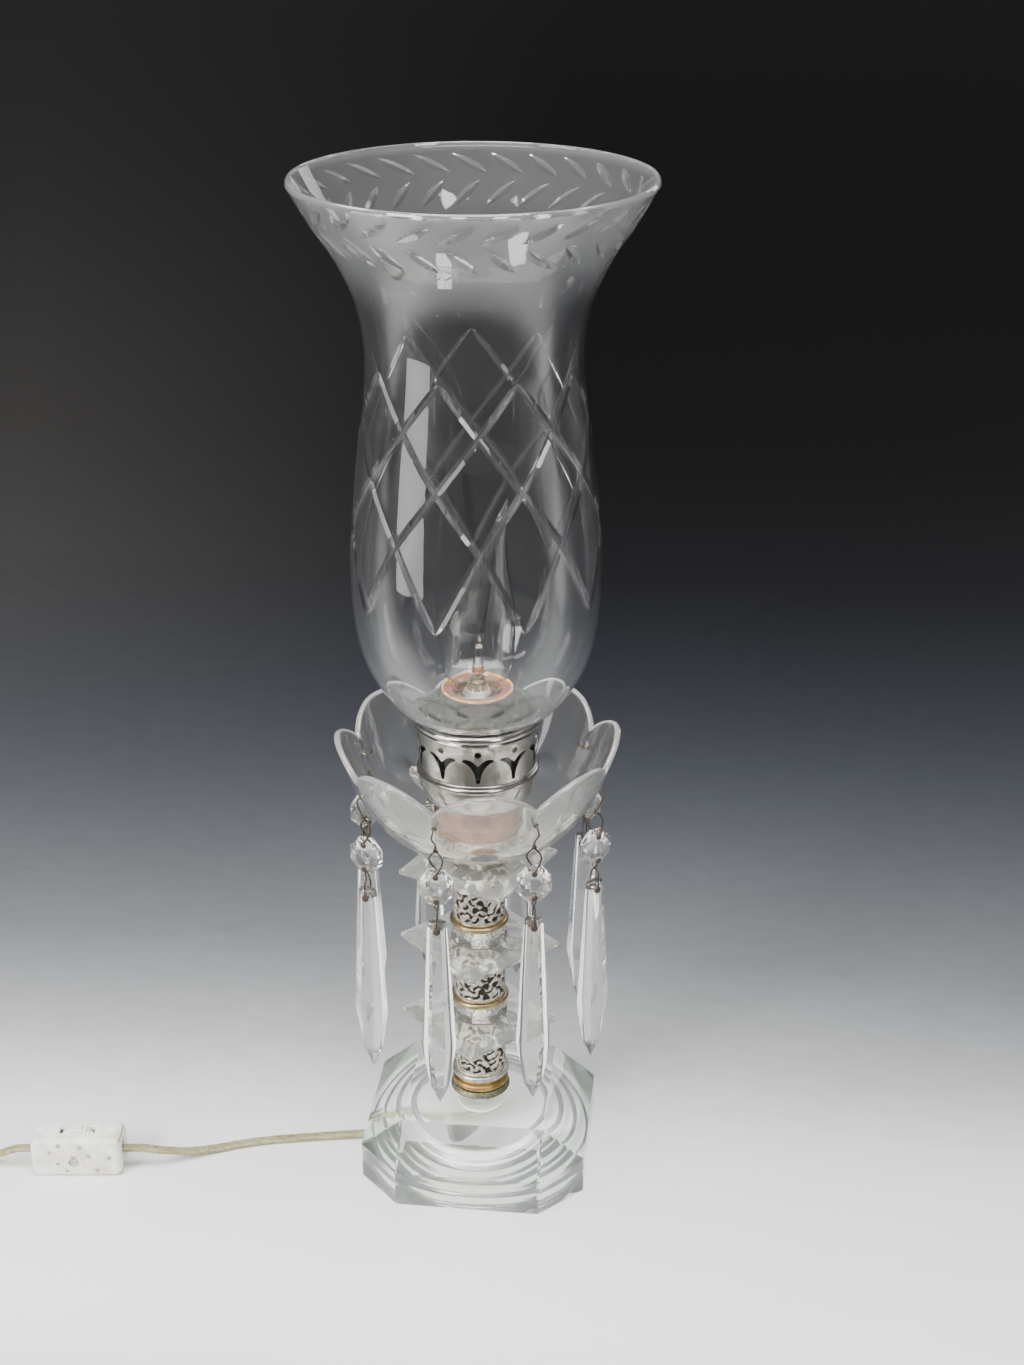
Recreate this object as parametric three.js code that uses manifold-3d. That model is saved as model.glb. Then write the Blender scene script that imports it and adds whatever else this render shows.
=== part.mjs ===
// Boudoir table lamp: a square cut-glass base, a column of square glass breaks, pierced
// silver sleeves and brass rings on a threaded pipe, a scalloped glass dish with eight
// hanging prism chains, a pierced shade holder, a socket with a flame bulb, and a clear
// flared glass shade. A flat twin cord leaves the base through a groove and carries a
// thumb-wheel switch and a plug.
//
// Millimetres, +Z up. The origin is the middle of the base's underside, on the lamp's axis.
// The front of the lamp faces -Y. Angles named "azimuth" count from -Y towards +X.

import * as THREE from 'three';
import { mergeVertices } from 'three/addons/utils/BufferGeometryUtils.js';
import { ConvexGeometry } from 'three/addons/geometries/ConvexGeometry.js';
import Module from 'manifold-3d';

const wasm = await Module();
wasm.setup();

// Clearances
const seatGap = 0.3;
const boreClearance = 0.5;
const turningClearance = 0.4;

// Threaded pipe that holds the whole stack together
const pipeRadius = 5;
const pipeWall = 1.4;
const pipeBelowNut = 1;
const boreRadius = pipeRadius + boreClearance;

// Glass base: an octagon below, a square table on top, a stepped round recess underneath
const baseWidth = 127;
const baseFlat = 80;
const baseTable = 81;
const baseWallHeight = 22;
const baseHeight = 40.5;
const recessSteps = [
  { radius: 54, depth: 3.5 },
  { radius: 47.5, depth: 9 },
  { radius: 40, depth: 18 },
];
const grooveWidth = 9;
const grooveHeight = 6;
const cordAzimuth = -85;

// Flanged nut that clamps the base from below
const nutFlangeRadius = 13;
const nutFlangeThickness = 1.5;
const nutAcrossFlats = 17;
const nutThickness = 5;

// Foot of the column
const flangeRadius = 17;
const flangeHeight = 3.5;
const footCapRadius = 16;
const footCapHeight = 7;

// One column module, from the bottom: ring, pierced sleeve, glass plate, glass hub
const moduleCount = 3;
const ringHeight = 5;
const sleeveRadius = 14.6;
const ringReach = 1.8;
const ringRadius = sleeveRadius + ringReach;
const sleeveWall = 1.2;
const sleeveHeight = 31;
const sleeveFacets = 16;
const piercedRows = 4;
const piercedMargin = 1.6;
const plateWidth = 63.6;
const plateThickness = 5;
const plateEdge = 2.4;
const plateBevel = 6;
const hubRadius = 15;
const hubTopRadius = 13.6;
const hubHeight = 9;
const hubFacets = 12;
const plateTurns = [0, 0, 21];

// Seat below the dish and band above it
const seatRadius = 21.5;
const seatHeight = 5.5;
const bandRadius = 24;
const bandWall = 1.2;
const bandHeight = 18.5;

// Scalloped glass dish, its rim a row of petals
const petalCount = 8;
const dishThickness = 4;
const dishBottomRadius = 26;
const dishNotchHeight = 46;
const petalRise = 15;
const dishCurve = [
  { radius: 40, height: 3.2 },
  { radius: 52, height: 12 },
  { radius: 61.5, height: 25 },
  { radius: 67, height: 36 },
  { radius: 70.5, height: 46 },
  { radius: 75, height: 61 },
];
const firstNotchAzimuth = -12;

// Pierced shade holder: a bowl, a bead, a slightly flared wall and a rolled top bead
const holderWall = 0.9;
const holderFootRadius = 22.5;
const holderBowlHeight = 17;
const holderWaistRadius = 31.3;
const holderBeadSize = 5;
const holderWallHeight = 25;
const holderFlare = 1.7;
const holderTopRadius = holderWaistRadius + holderFlare;
const holderBeadOut = 1.5;
const ledgeReach = 4.6;
const ledgeThickness = 1;
const tulipCount = 10;

// Socket and its inner parts
const socketRadius = 20;
const socketTop = 64;
const shellWall = 0.6;
const linerWall = 1.1;
const linerRise = 0.8;
const socketCapHeight = 18;
const screwRadius = 13.8;
const screwWall = 0.4;
const screwDepth = 27;
const socketBodyHeight = 40;

// Flame bulb with a bent tip
const bulbCapRadius = 12.9;
const bulbRadius = 18.6;
const bulbHeight = 108;
const bulbTipBend = 13;
const bulbWall = 0.8;
const stemHeight = 50;

// Flared glass shade
const shadeWall = 2.4;
const shadeHeight = 278.6;
const shadeRimRadius = 88.4;
const fitterHeight = 31.5;
const fitterPlay = 0.9;

// Prism chains
const holeRadius = 1.9;
const holeBelowNotch = 7.5;
const wireRadius = 0.45;
const beadWidth = 20;
const beadThickness = 8;
const beadDrop = 35;
const beadHoleOffset = 7.2;
const beadHoleRadius = 1.7;
const prismLength = 115;
const prismWidth = 18.6;
const prismTopWidth = 10;
const prismDepth = 9.6;
const prismTopDepth = 5.4;
const prismShoulder = 0.67;
const linkDepth = 4.5;
const prismDrop = 56;
const faceTurns = [15, -20, -40, 40, 10, -15, -40, 40];

// Flat twin cord, its thumb-wheel switch and its plug
const cordWidth = 6;
const cordThickness = 3;
const coilLayers = 2;
const coilTurns = 6.25;
const coilTurnPitch = 6.7;
const coilLayerPitch = 3.75;
const coilOuterRadius = 47;
const coilStepsPerTurn = 24;
const coilLeadOut = 37;
const switchLength = 54;
const switchHeight = 25;
const switchThickness = 20;
const switchWall = 2;
const switchTurn = 6.5;
const wheelRadius = 10.6;
const wheelThickness = 5;
const wheelProud = 2.4;
const plugLength = 32;
const plugWidth = 24;
const plugHeight = 13;
const bladeSpacing = 12.7;
const bladeLength = 17;
const bladeWidth = 6.3;
const bladeThickness = 1.5;
const bladeSink = 6;

// Finishes
const finishes = {
  clearGlass: { color: 0xdfe8e6, roughness: 0.04, metalness: 0 },
  baseGlass: { color: 0xcfdad4, roughness: 0.05, metalness: 0 },
  crystal: { color: 0xe6eaea, roughness: 0.03, metalness: 0 },
  nickel: { color: 0xc4c4c2, roughness: 0.18, metalness: 1 },
  silver: { color: 0xa9a29a, roughness: 0.42, metalness: 1 },
  brass: { color: 0x9c7b48, roughness: 0.34, metalness: 1 },
  whiteVinyl: { color: 0xd9d5cb, roughness: 0.55, metalness: 0 },
  copper: { color: 0xb07a60, roughness: 0.36, metalness: 1 },
  tarnish: { color: 0x5f6156, roughness: 0.6, metalness: 0.8 },
  steel: { color: 0x8a8a86, roughness: 0.4, metalness: 1 },
  socketGrey: { color: 0x4d4d4c, roughness: 0.45, metalness: 0.6 },
  fibre: { color: 0xb4793f, roughness: 0.8, metalness: 0 },
  phenolic: { color: 0x8a5a46, roughness: 0.55, metalness: 0 },
  bronzeWire: { color: 0x4a3a2c, roughness: 0.5, metalness: 1 },
  cordVinyl: { color: 0xa39a68, roughness: 0.4, metalness: 0 },
  whitePlastic: { color: 0xe2dfd8, roughness: 0.5, metalness: 0 },
};

const lamp = new THREE.Group();
lamp.name = 'boudoir_table_lamp';

// Helpers

const radians = (degrees) => (degrees * Math.PI) / 180;

// The direction at an azimuth, seen from above
const outward = (azimuth) =>
  new THREE.Vector3(Math.sin(radians(azimuth)), -Math.cos(radians(azimuth)), 0);

// One closed set of shared vertices and outward triangles from any closed geometry
function welded(geometry) {
  const bare = geometry.clone();
  bare.deleteAttribute('normal');
  bare.deleteAttribute('uv');
  const merged = mergeVertices(bare.index ? bare.toNonIndexed() : bare, 1e-4);
  const index = [...merged.index.array];
  const kept = [];
  for (let i = 0; i < index.length; i += 3) {
    const [a, b, c] = index.slice(i, i + 3);
    if (a !== b && b !== c && c !== a) kept.push(a, b, c);
  }
  const at = merged.getAttribute('position');
  const corner = (i) => new THREE.Vector3().fromBufferAttribute(at, i);
  let volume = 0;
  for (let i = 0; i < kept.length; i += 3) {
    const [a, b, c] = [corner(kept[i]), corner(kept[i + 1]), corner(kept[i + 2])];
    volume += a.dot(b.cross(c)) / 6;
  }
  if (volume < 0) kept.reverse();
  const result = new THREE.BufferGeometry();
  result.setAttribute('position', at.clone());
  result.setIndex(kept);
  return result;
}

function toSolid(geometry) {
  const closed = welded(geometry);
  return new wasm.Manifold(new wasm.Mesh({
    numProp: 3,
    vertProperties: new Float32Array(closed.getAttribute('position').array),
    triVerts: new Uint32Array(closed.index.array),
  }));
}

function toGeometry(solid) {
  const mesh = solid.getMesh();
  const result = new THREE.BufferGeometry();
  result.setAttribute('position', new THREE.BufferAttribute(mesh.vertProperties, 3));
  result.setIndex([...mesh.triVerts]);
  return result;
}

function cut(geometry, cutters) {
  let solid = toSolid(geometry);
  for (const cutter of cutters) solid = solid.subtract(toSolid(cutter));
  return toGeometry(solid);
}

function joined(geometries) {
  let solid = toSolid(geometries[0]);
  for (const other of geometries.slice(1)) solid = solid.add(toSolid(other));
  return toGeometry(solid);
}

// A solid of revolution about Z from [radius, height] pairs
function turned(profile, segments) {
  const points = profile.map(([radius, height]) => new THREE.Vector2(radius, height));
  return new THREE.LatheGeometry(points, segments).rotateX(Math.PI / 2);
}

// A ring-shaped solid of revolution: the outline closes on itself
const turnedRing = (profile, segments) => turned([...profile, profile[0]], segments);

// An upright cylinder between two heights
function post(radius, low, high, segments) {
  return new THREE.CylinderGeometry(radius, radius, high - low, segments)
    .rotateX(Math.PI / 2)
    .translate(0, 0, (low + high) / 2);
}

function add(name, geometry, finish, parent = lamp) {
  const material = new THREE.MeshStandardMaterial(finishes[finish]);
  const mesh = new THREE.Mesh(welded(geometry), material);
  mesh.name = name;
  parent.add(mesh);
  return mesh;
}

// A tube of a given section along a smooth curve through points
function tube(points, section, steps, curve = new THREE.CatmullRomCurve3(points, false, 'centripetal')) {
  return new THREE.ExtrudeGeometry(section, { extrudePath: curve, steps, bevelEnabled: false });
}

// A flattened polygon: across the first axis and along the second
function ovalSection(across, along, sides) {
  const corners = Array.from({ length: sides }, (_, i) => {
    const angle = ((i + 0.5) / sides) * 2 * Math.PI;
    return new THREE.Vector2((across / 2) * Math.cos(angle), (along / 2) * Math.sin(angle));
  });
  return new THREE.Shape(corners);
}

// Glass base

function glassBase() {
  const half = baseWidth / 2;
  const flat = baseFlat / 2;
  const table = baseTable / 2;
  const octagon = [[flat, half], [half, flat], [half, -flat], [flat, -half],
    [-flat, -half], [-half, -flat], [-half, flat], [-flat, half]];
  const corners = octagon.flatMap(([x, y]) => [
    new THREE.Vector3(x, y, 0),
    new THREE.Vector3(x, y, baseWallHeight),
  ]);
  for (const x of [-table, table]) {
    for (const y of [-table, table]) corners.push(new THREE.Vector3(x, y, baseHeight));
  }
  const steps = recessSteps.map(({ radius, depth }) => post(radius, -1, depth, 40));
  const groove = new THREE.BoxGeometry(half, grooveWidth, grooveHeight + 1)
    .translate(half, 0, (grooveHeight - 1) / 2)
    .scale(1.2, 1, 1)
    .rotateZ(radians(cordAzimuth - 90));
  const bore = post(boreRadius, -1, baseHeight + 1, 16);
  return cut(new ConvexGeometry(corners), [...steps, groove, bore]);
}

const recessCeiling = recessSteps[recessSteps.length - 1].depth;
const nutBottom = recessCeiling - nutThickness;
const pipeBottom = nutBottom - pipeBelowNut;

function flangedNut() {
  const cornerRadius = nutAcrossFlats / 2 / Math.cos(Math.PI / 6);
  const hex = post(cornerRadius, nutBottom, recessCeiling - nutFlangeThickness / 2, 6);
  const flange = post(nutFlangeRadius, recessCeiling - nutFlangeThickness, recessCeiling, 24);
  return cut(joined([hex, flange]), [post(boreRadius, nutBottom - 1, recessCeiling + 1, 16)]);
}

add('glass_base', glassBase(), 'baseGlass');
add('base_nut', flangedNut(), 'steel');

// Foot of the column

const flangeTop = baseHeight + flangeHeight;
add('foot_flange', turnedRing([
  [boreRadius, baseHeight],
  [flangeRadius - 1, baseHeight],
  [flangeRadius, baseHeight + 1],
  [flangeRadius, baseHeight + 2],
  [flangeRadius - 1.4, flangeTop],
  [boreRadius, flangeTop],
], 24), 'tarnish');

const footCapTop = flangeTop + footCapHeight;
add('foot_cap', turnedRing([
  [boreRadius, flangeTop],
  [footCapRadius - 0.6, flangeTop],
  [footCapRadius, flangeTop + 1.2],
  [footCapRadius - 1.6, flangeTop + 3],
  [footCapRadius - 1.2, flangeTop + 4.6],
  [footCapRadius - 2.6, footCapTop],
  [boreRadius, footCapTop],
], 20), 'brass');

// Column modules

const moduleHeight = ringHeight + sleeveHeight + plateThickness + hubHeight;
const columnTop = footCapTop + moduleCount * moduleHeight;

function columnRing(bottom) {
  const middle = bottom + ringHeight / 2;
  const flank = ringRadius - ringHeight / 2;
  const rim = [-90, -45, 0, 45, 90].map((angle) => [
    flank + (ringHeight / 2) * Math.cos(radians(angle)),
    middle + (ringHeight / 2) * Math.sin(radians(angle)),
  ]);
  return turnedRing([[boreRadius, bottom], ...rim, [boreRadius, bottom + ringHeight]], 20);
}

// The two openings of the filigree, each as shares of its cell: a kidney and a leaning trefoil
const kidney = [[-0.44, -0.1], [0.1, -0.44], [0.04, 0], [0.44, 0.2], [0.2, 0.44], [-0.3, 0.34]];
const trefoil = [[-0.44, -0.38], [0.42, -0.44], [0.16, 0], [0.44, 0.42], [-0.44, 0.34], [-0.12, 0]];

// One opening of the filigree, cut through the wall at azimuth 0; every other one is a mirror image
function piercing(shares, mirrored) {
  const cellWidth = 2 * (sleeveRadius - sleeveWall) * Math.sin(Math.PI / sleeveFacets);
  const cellHeight = (sleeveHeight - 2 * piercedMargin) / piercedRows;
  const depth = 3 * sleeveWall;
  const side = mirrored ? -1 : 1;
  const outline = new THREE.Shape(shares.map(([across, up]) => (
    new THREE.Vector2(side * across * cellWidth, up * cellHeight)
  )));
  return new THREE.ExtrudeGeometry(outline, { depth, bevelEnabled: false })
    .rotateX(Math.PI / 2)
    .translate(0, -(sleeveRadius - 2 * sleeveWall), piercedMargin + cellHeight / 2);
}

// A pierced sleeve: the openings of each row sit between those of the rows above and below
function filigreeSleeve(bottom) {
  const plain = turnedRing([
    [sleeveRadius - sleeveWall, 0],
    [sleeveRadius, 0],
    [sleeveRadius, sleeveHeight],
    [sleeveRadius - sleeveWall, sleeveHeight],
  ], sleeveFacets);
  const rowPitch = (sleeveHeight - 2 * piercedMargin) / piercedRows;
  const openings = [];
  for (let row = 0; row < piercedRows; row += 1) {
    for (let facet = row % 2; facet < sleeveFacets; facet += 2) {
      const opening = piercing((row + facet) % 3 ? kidney : trefoil, facet % 4 < 2);
      const azimuth = radians(((facet + 0.5) * 360) / sleeveFacets);
      openings.push(opening.rotateZ(azimuth).translate(0, 0, row * rowPitch));
    }
  }
  return cut(plain, openings).translate(0, 0, bottom);
}

// A square plate with bevelled upper edges and a faceted hub standing on it
function glassBreak(bottom) {
  const half = plateWidth / 2;
  const corners = [];
  for (const x of [-1, 1]) {
    for (const y of [-1, 1]) {
      corners.push(new THREE.Vector3(x * half, y * half, bottom));
      corners.push(new THREE.Vector3(x * half, y * half, bottom + plateEdge));
      const inner = half - plateBevel;
      corners.push(new THREE.Vector3(x * inner, y * inner, bottom + plateThickness));
    }
  }
  const top = bottom + plateThickness + hubHeight;
  const hub = new THREE.CylinderGeometry(hubTopRadius, hubRadius, hubHeight + 1, hubFacets)
    .rotateX(Math.PI / 2)
    .translate(0, 0, top - (hubHeight + 1) / 2);
  const bore = post(boreRadius, bottom - 1, top + 1, 20);
  return cut(joined([new ConvexGeometry(corners), hub]), [bore]);
}

for (let i = 0; i < moduleCount; i += 1) {
  const number = moduleCount - i;
  const ringBottom = footCapTop + i * moduleHeight;
  const sleeveBottom = ringBottom + ringHeight;
  const plateBottom = sleeveBottom + sleeveHeight;
  const plateTurn = plateTurns[i] + 45;
  add(`column_ring_${number}`, columnRing(ringBottom), i === 0 ? 'silver' : 'brass');
  add(`filigree_sleeve_${number}`, filigreeSleeve(sleeveBottom), 'silver');
  add(`glass_break_${number}`, glassBreak(plateBottom).rotateZ(radians(plateTurn)), 'crystal');
}

// Seat, dish and band

const dishBottom = columnTop + seatHeight;
add('dish_seat', turnedRing([
  [boreRadius, columnTop],
  [hubTopRadius, columnTop],
  [hubTopRadius + 1.4, columnTop + 1.2],
  [seatRadius - 1.2, dishBottom - 2.2],
  [seatRadius, dishBottom - 1.6],
  [seatRadius, dishBottom],
  [boreRadius, dishBottom],
], 24), 'brass');

// The dish's wall line: the outer radius at a height above the dish's bottom
const dishLine = new THREE.CatmullRomCurve3([
  new THREE.Vector3(dishBottomRadius, 0, 0),
  ...dishCurve.map(({ radius, height }) => new THREE.Vector3(radius, 0, height)),
], false, 'centripetal');

function dishRadiusAt(height) {
  let low = 0;
  let high = 1;
  for (let i = 0; i < 40; i += 1) {
    const middle = (low + high) / 2;
    if (dishLine.getPoint(middle).z < height) low = middle;
    else high = middle;
  }
  return dishLine.getPoint(low).x;
}

// The dish: at each azimuth the wall line runs up to the petal's own height there
function glassDish() {
  const steps = 4;
  const segments = petalCount * 8;
  const loops = [];
  for (let i = 0; i < segments; i += 1) {
    const phase = (i / segments) * petalCount;
    const petal = Math.abs(Math.sin(Math.PI * phase)) ** 0.75;
    const rimHeight = dishNotchHeight + petalRise * petal;
    const cupping = 1.2 * petal;
    const outer = [];
    const inner = [];
    for (let j = 0; j <= steps; j += 1) {
      const height = rimHeight * (j / steps);
      const radius = dishRadiusAt(height) + cupping * (j / steps) ** 2;
      const ahead = dishRadiusAt(height + 0.5);
      const behind = dishRadiusAt(Math.max(height - 0.5, 0));
      const slope = new THREE.Vector2(ahead - behind, height < 0.5 ? 0.5 : 1).normalize();
      const thin = dishThickness * (1 - 0.25 * (j / steps));
      outer.push([radius, height]);
      inner.push([
        radius - thin * slope.y,
        Math.max(height + thin * slope.x, dishThickness),
      ]);
    }
    inner[0] = [dishBottomRadius, dishThickness];
    const loop = [[boreRadius, 0], ...outer, ...inner.reverse(), [boreRadius, dishThickness]];
    const azimuth = firstNotchAzimuth + (i / segments) * 360;
    const way = outward(azimuth);
    loops.push(loop.map(([radius, height]) => way.clone().multiplyScalar(radius).setZ(height)));
  }
  return wrapped(loops);
}

// A closed ring of skin over loops of points that all have the same count
function wrapped(loops) {
  const count = loops[0].length;
  const positions = loops.flatMap((loop) => loop.flatMap((point) => [point.x, point.y, point.z]));
  const index = [];
  for (let i = 0; i < loops.length; i += 1) {
    const next = (i + 1) % loops.length;
    for (let j = 0; j < count; j += 1) {
      const after = (j + 1) % count;
      const [a, b] = [i * count + j, i * count + after];
      const [c, d] = [next * count + j, next * count + after];
      index.push(a, c, b, b, c, d);
    }
  }
  const geometry = new THREE.BufferGeometry();
  geometry.setAttribute('position', new THREE.Float32BufferAttribute(positions, 3));
  geometry.setIndex(index);
  return geometry;
}

const holeHeight = dishBottom + dishNotchHeight - holeBelowNotch;
const chainAzimuth = (k) => firstNotchAzimuth + (k * 360) / petalCount;
const chainRadius = dishRadiusAt(dishNotchHeight - holeBelowNotch) - dishThickness / 2;

function wireHole(k) {
  return new THREE.CylinderGeometry(holeRadius, holeRadius, 4 * dishThickness, 8)
    .rotateZ(Math.PI / 2)
    .translate(chainRadius, 0, holeHeight - dishBottom)
    .rotateZ(radians(chainAzimuth(k) - 90));
}

const wireHoles = Array.from({ length: petalCount }, (_, k) => wireHole(k));
add('dish', cut(glassDish(), wireHoles).translate(0, 0, dishBottom), 'clearGlass');

const bandBottom = dishBottom + dishThickness;
const bandTop = bandBottom + bandHeight;
add('copper_band', turnedRing([
  [bandRadius - bandWall, bandBottom],
  [bandRadius, bandBottom],
  [bandRadius, bandTop - 0.8],
  [bandRadius - 0.8, bandTop],
  [boreRadius, bandTop],
  [boreRadius, bandTop - bandWall],
  [bandRadius - bandWall, bandTop - bandWall],
], 24), 'copper');

// Shade holder

const holderBeadBottom = bandTop + holderBowlHeight;
const holderWallBottom = holderBeadBottom + holderBeadSize;
const holderWallTop = holderWallBottom + holderWallHeight;
const holderTop = holderWallTop + holderBeadSize;
const ledgeTop = holderBeadBottom + holderBeadSize / 2;

// A bead rolled outwards: points from its foot to its top
function bead(radius, bottom, out) {
  return [-60, 0, 60].map((angle) => [
    radius + out * Math.cos(radians(angle)),
    bottom + (holderBeadSize / 2) * (1 + Math.sin(radians(angle)) / Math.sin(radians(60))),
  ]);
}

const holderInnerFloor = bandTop + holderWall;
const bowlLine = [0.33, 0.67].map((share) => {
  const angle = share * (Math.PI / 2);
  return [
    holderFootRadius + (holderWaistRadius - holderFootRadius) * Math.sin(angle),
    bandTop + holderBowlHeight * (1 - Math.cos(angle)),
  ];
});

// One tulip-shaped opening and the round dot above it, cut through the wall at azimuth 0
function tulipCutters() {
  const middle = (holderWallBottom + holderWallTop) / 2;
  const tulip = new THREE.Shape();
  tulip.moveTo(0.7, -10.5);
  tulip.lineTo(1.2, -3.5);
  tulip.quadraticCurveTo(1.9, 1.2, 7.6, 2.2);
  tulip.quadraticCurveTo(5.0, 3.4, 2.8, 2.9);
  tulip.lineTo(0, 1.1);
  tulip.lineTo(-2.8, 2.9);
  tulip.quadraticCurveTo(-5.0, 3.4, -7.6, 2.2);
  tulip.quadraticCurveTo(-1.9, 1.2, -1.2, -3.5);
  tulip.lineTo(-0.7, -10.5);
  const depth = 8;
  const through = (shape) => new THREE.ExtrudeGeometry(shape, { depth, bevelEnabled: false, curveSegments: 2 })
    .rotateX(Math.PI / 2)
    .translate(0, -(holderWaistRadius - depth / 2), middle);
  const dot = new THREE.Shape().absarc(0, 6.6, 1.6, 0, 2 * Math.PI);
  return [through(tulip), through(dot)];
}

function shadeHolder() {
  const outside = [
    [boreRadius, bandTop],
    [holderFootRadius, bandTop],
    ...bowlLine,
    [holderWaistRadius, holderBeadBottom],
    ...bead(holderWaistRadius, holderBeadBottom, holderBeadOut),
    [holderWaistRadius, holderWallBottom],
    [holderTopRadius, holderWallTop],
    ...bead(holderTopRadius, holderWallTop, holderBeadOut),
  ];
  const inside = [
    [holderTopRadius - holderWall, holderTop],
    [holderTopRadius - holderWall, holderWallTop],
    [holderWaistRadius - holderWall, ledgeTop],
    [holderWaistRadius - ledgeReach, ledgeTop],
    [holderWaistRadius - ledgeReach, ledgeTop - ledgeThickness],
    [holderWaistRadius - holderWall, ledgeTop - ledgeThickness],
    ...bowlLine.slice().reverse().map(([radius, height]) => [radius - holderWall, height + 0.5]),
    [holderFootRadius - holderWall, holderInnerFloor],
    [boreRadius, holderInnerFloor],
  ];
  const openings = [];
  for (let i = 0; i < tulipCount; i += 1) {
    const turn = radians(((i + 0.5) * 360) / tulipCount);
    for (const cutter of tulipCutters()) openings.push(cutter.rotateZ(turn));
  }
  return cut(turnedRing([...outside, ...inside], 3 * tulipCount), openings);
}

add('shade_holder', shadeHolder(), 'nickel');

// Threaded pipe

const pipeTop = holderInnerFloor + 11;
add('lamp_pipe', turnedRing([
  [pipeRadius - pipeWall, pipeBottom],
  [pipeRadius, pipeBottom],
  [pipeRadius, pipeTop],
  [pipeRadius - pipeWall, pipeTop],
], 16), 'steel');

// Socket

const shellTop = holderInnerFloor + socketTop;
const socketCapTop = holderInnerFloor + socketCapHeight;
const capRadius = socketRadius - shellWall - 0.4;

add('socket_cap', turnedRing([
  [boreRadius, holderInnerFloor],
  [8.5, holderInnerFloor],
  [8.5, holderInnerFloor + 6],
  [capRadius - 3, holderInnerFloor + 10],
  [capRadius, holderInnerFloor + 14],
  [capRadius, socketCapTop],
  [capRadius - shellWall, socketCapTop],
  [capRadius - shellWall, holderInnerFloor + 14.2],
  [boreRadius, holderInnerFloor + 7.8],
], 20), 'socketGrey');

const shellBottom = socketCapTop - 6;
add('socket_shell', turnedRing([
  [socketRadius - shellWall, shellBottom],
  [socketRadius, shellBottom],
  [socketRadius, shellTop],
  [socketRadius - shellWall, shellTop],
], 28), 'socketGrey');

const linerOuter = socketRadius - shellWall - seatGap;
const linerBottom = socketCapTop + seatGap;
const linerTop = shellTop + linerRise;
add('socket_liner', turnedRing([
  [linerOuter - linerWall, linerBottom],
  [linerOuter, linerBottom],
  [linerOuter, linerTop],
  [linerOuter - linerWall, linerTop],
], 28), 'fibre');

const bodyRadius = linerOuter - linerWall - seatGap;
const bodyTop = shellTop - 1.5;
const bodyBottom = bodyTop - socketBodyHeight;
const screwTop = bodyTop - 0.8;
const screwBottom = screwTop - screwDepth;
add('socket_body', turned([
  [0, bodyBottom],
  [bodyRadius - 2, bodyBottom],
  [bodyRadius, bodyBottom + 2],
  [bodyRadius, bodyTop],
  [screwRadius + seatGap, bodyTop],
  [screwRadius + seatGap, screwBottom],
  [6, screwBottom],
  [6, screwBottom - 1.5],
  [0, screwBottom - 1.5],
], 20), 'phenolic');

add('screw_shell', turnedRing([
  [screwRadius - screwWall, screwBottom],
  [screwRadius, screwBottom],
  [screwRadius, screwTop],
  [screwRadius - screwWall, screwTop],
], 24), 'brass');

// Flame bulb

const capBottom = screwBottom - 1.5;
const capTop = bodyTop + 1;
add('bulb_cap', turned([
  [0, capBottom],
  [3.6, capBottom],
  [4.4, capBottom + 2],
  [9, capBottom + 4.4],
  [bulbCapRadius, capBottom + 7],
  [bulbCapRadius, capTop],
  [bulbCapRadius - 0.5, capTop],
  [bulbCapRadius - 0.5, capBottom + 7.4],
  [8.6, capBottom + 5.4],
  [0, capBottom + 5],
], 20), 'brass');

const glassBottom = capTop - 5;
const glassFoot = bulbCapRadius - 0.5 - seatGap;
const bulbTip = bodyTop + bulbHeight;
const bulbLine = [
  [glassFoot, 0],
  [glassFoot, 6],
  [bulbRadius - 1.4, 20],
  [bulbRadius, 33],
  [bulbRadius - 1, 46],
  [bulbRadius - 4.6, 62],
  [bulbRadius - 9.6, 78],
  [bulbRadius - 14, 93],
  [1.6, 105],
  [0, bulbTip - glassBottom],
];

// Leans the upper part of a bulb sideways, more and more towards its tip
function bentTip(geometry) {
  const at = geometry.getAttribute('position');
  for (let i = 0; i < at.count; i += 1) {
    const rise = Math.max(at.getZ(i) - glassBottom, 0) / (bulbTip - glassBottom);
    at.setX(i, at.getX(i) + bulbTipBend * rise ** 2);
  }
  return geometry;
}

const bulbOutside = bulbLine.map(([radius, height]) => [radius, glassBottom + height]);
const bulbInside = bulbOutside.slice(0, -1).reverse()
  .map(([radius, height]) => [Math.max(radius - bulbWall, 0.5), height]);
const bulbWallLoop = [...bulbOutside, [0, bulbTip - 2], ...bulbInside];
add('bulb_glass', bentTip(turnedRing(bulbWallLoop, 16)), 'clearGlass');

const stemBottom = glassBottom + 1;
const stemFlare = glassFoot - bulbWall - seatGap;
add('bulb_stem', bentTip(turned([
  [0, stemBottom],
  [stemFlare, stemBottom],
  [stemFlare - 2, stemBottom + 2],
  [5, stemBottom + 8],
  [3, stemBottom + 14],
  [2.2, stemBottom + 24],
  [2.6, stemBottom + 28],
  [0.8, stemBottom + 32],
  [0.7, stemBottom + stemHeight],
  [0, stemBottom + stemHeight],
], 12)), 'clearGlass');

// Flared shade

const fitterRadius = holderWaistRadius - holderWall - fitterPlay;
const shadeFoot = ledgeTop;
const shadeStart = shadeFoot + fitterHeight;
const shadeLine = [
  [fitterRadius, shadeFoot],
  [fitterRadius, shadeStart - 3],
  [30.6, shadeStart + 0.6],
  [34.6, shadeStart + 3],
  [43, shadeStart + 8],
  [51.8, shadeStart + 20],
  [59.4, shadeStart + 36],
  [63.6, shadeStart + 58],
  [64.4, shadeStart + 82],
  [63, shadeStart + 110],
  [58.8, shadeStart + 148],
  [54.8, shadeStart + 176],
  [54, shadeStart + 198],
  [58, shadeStart + 222],
  [67, shadeStart + 243],
  [78, shadeStart + 260],
  [shadeRimRadius, shadeStart + shadeHeight],
];

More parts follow.
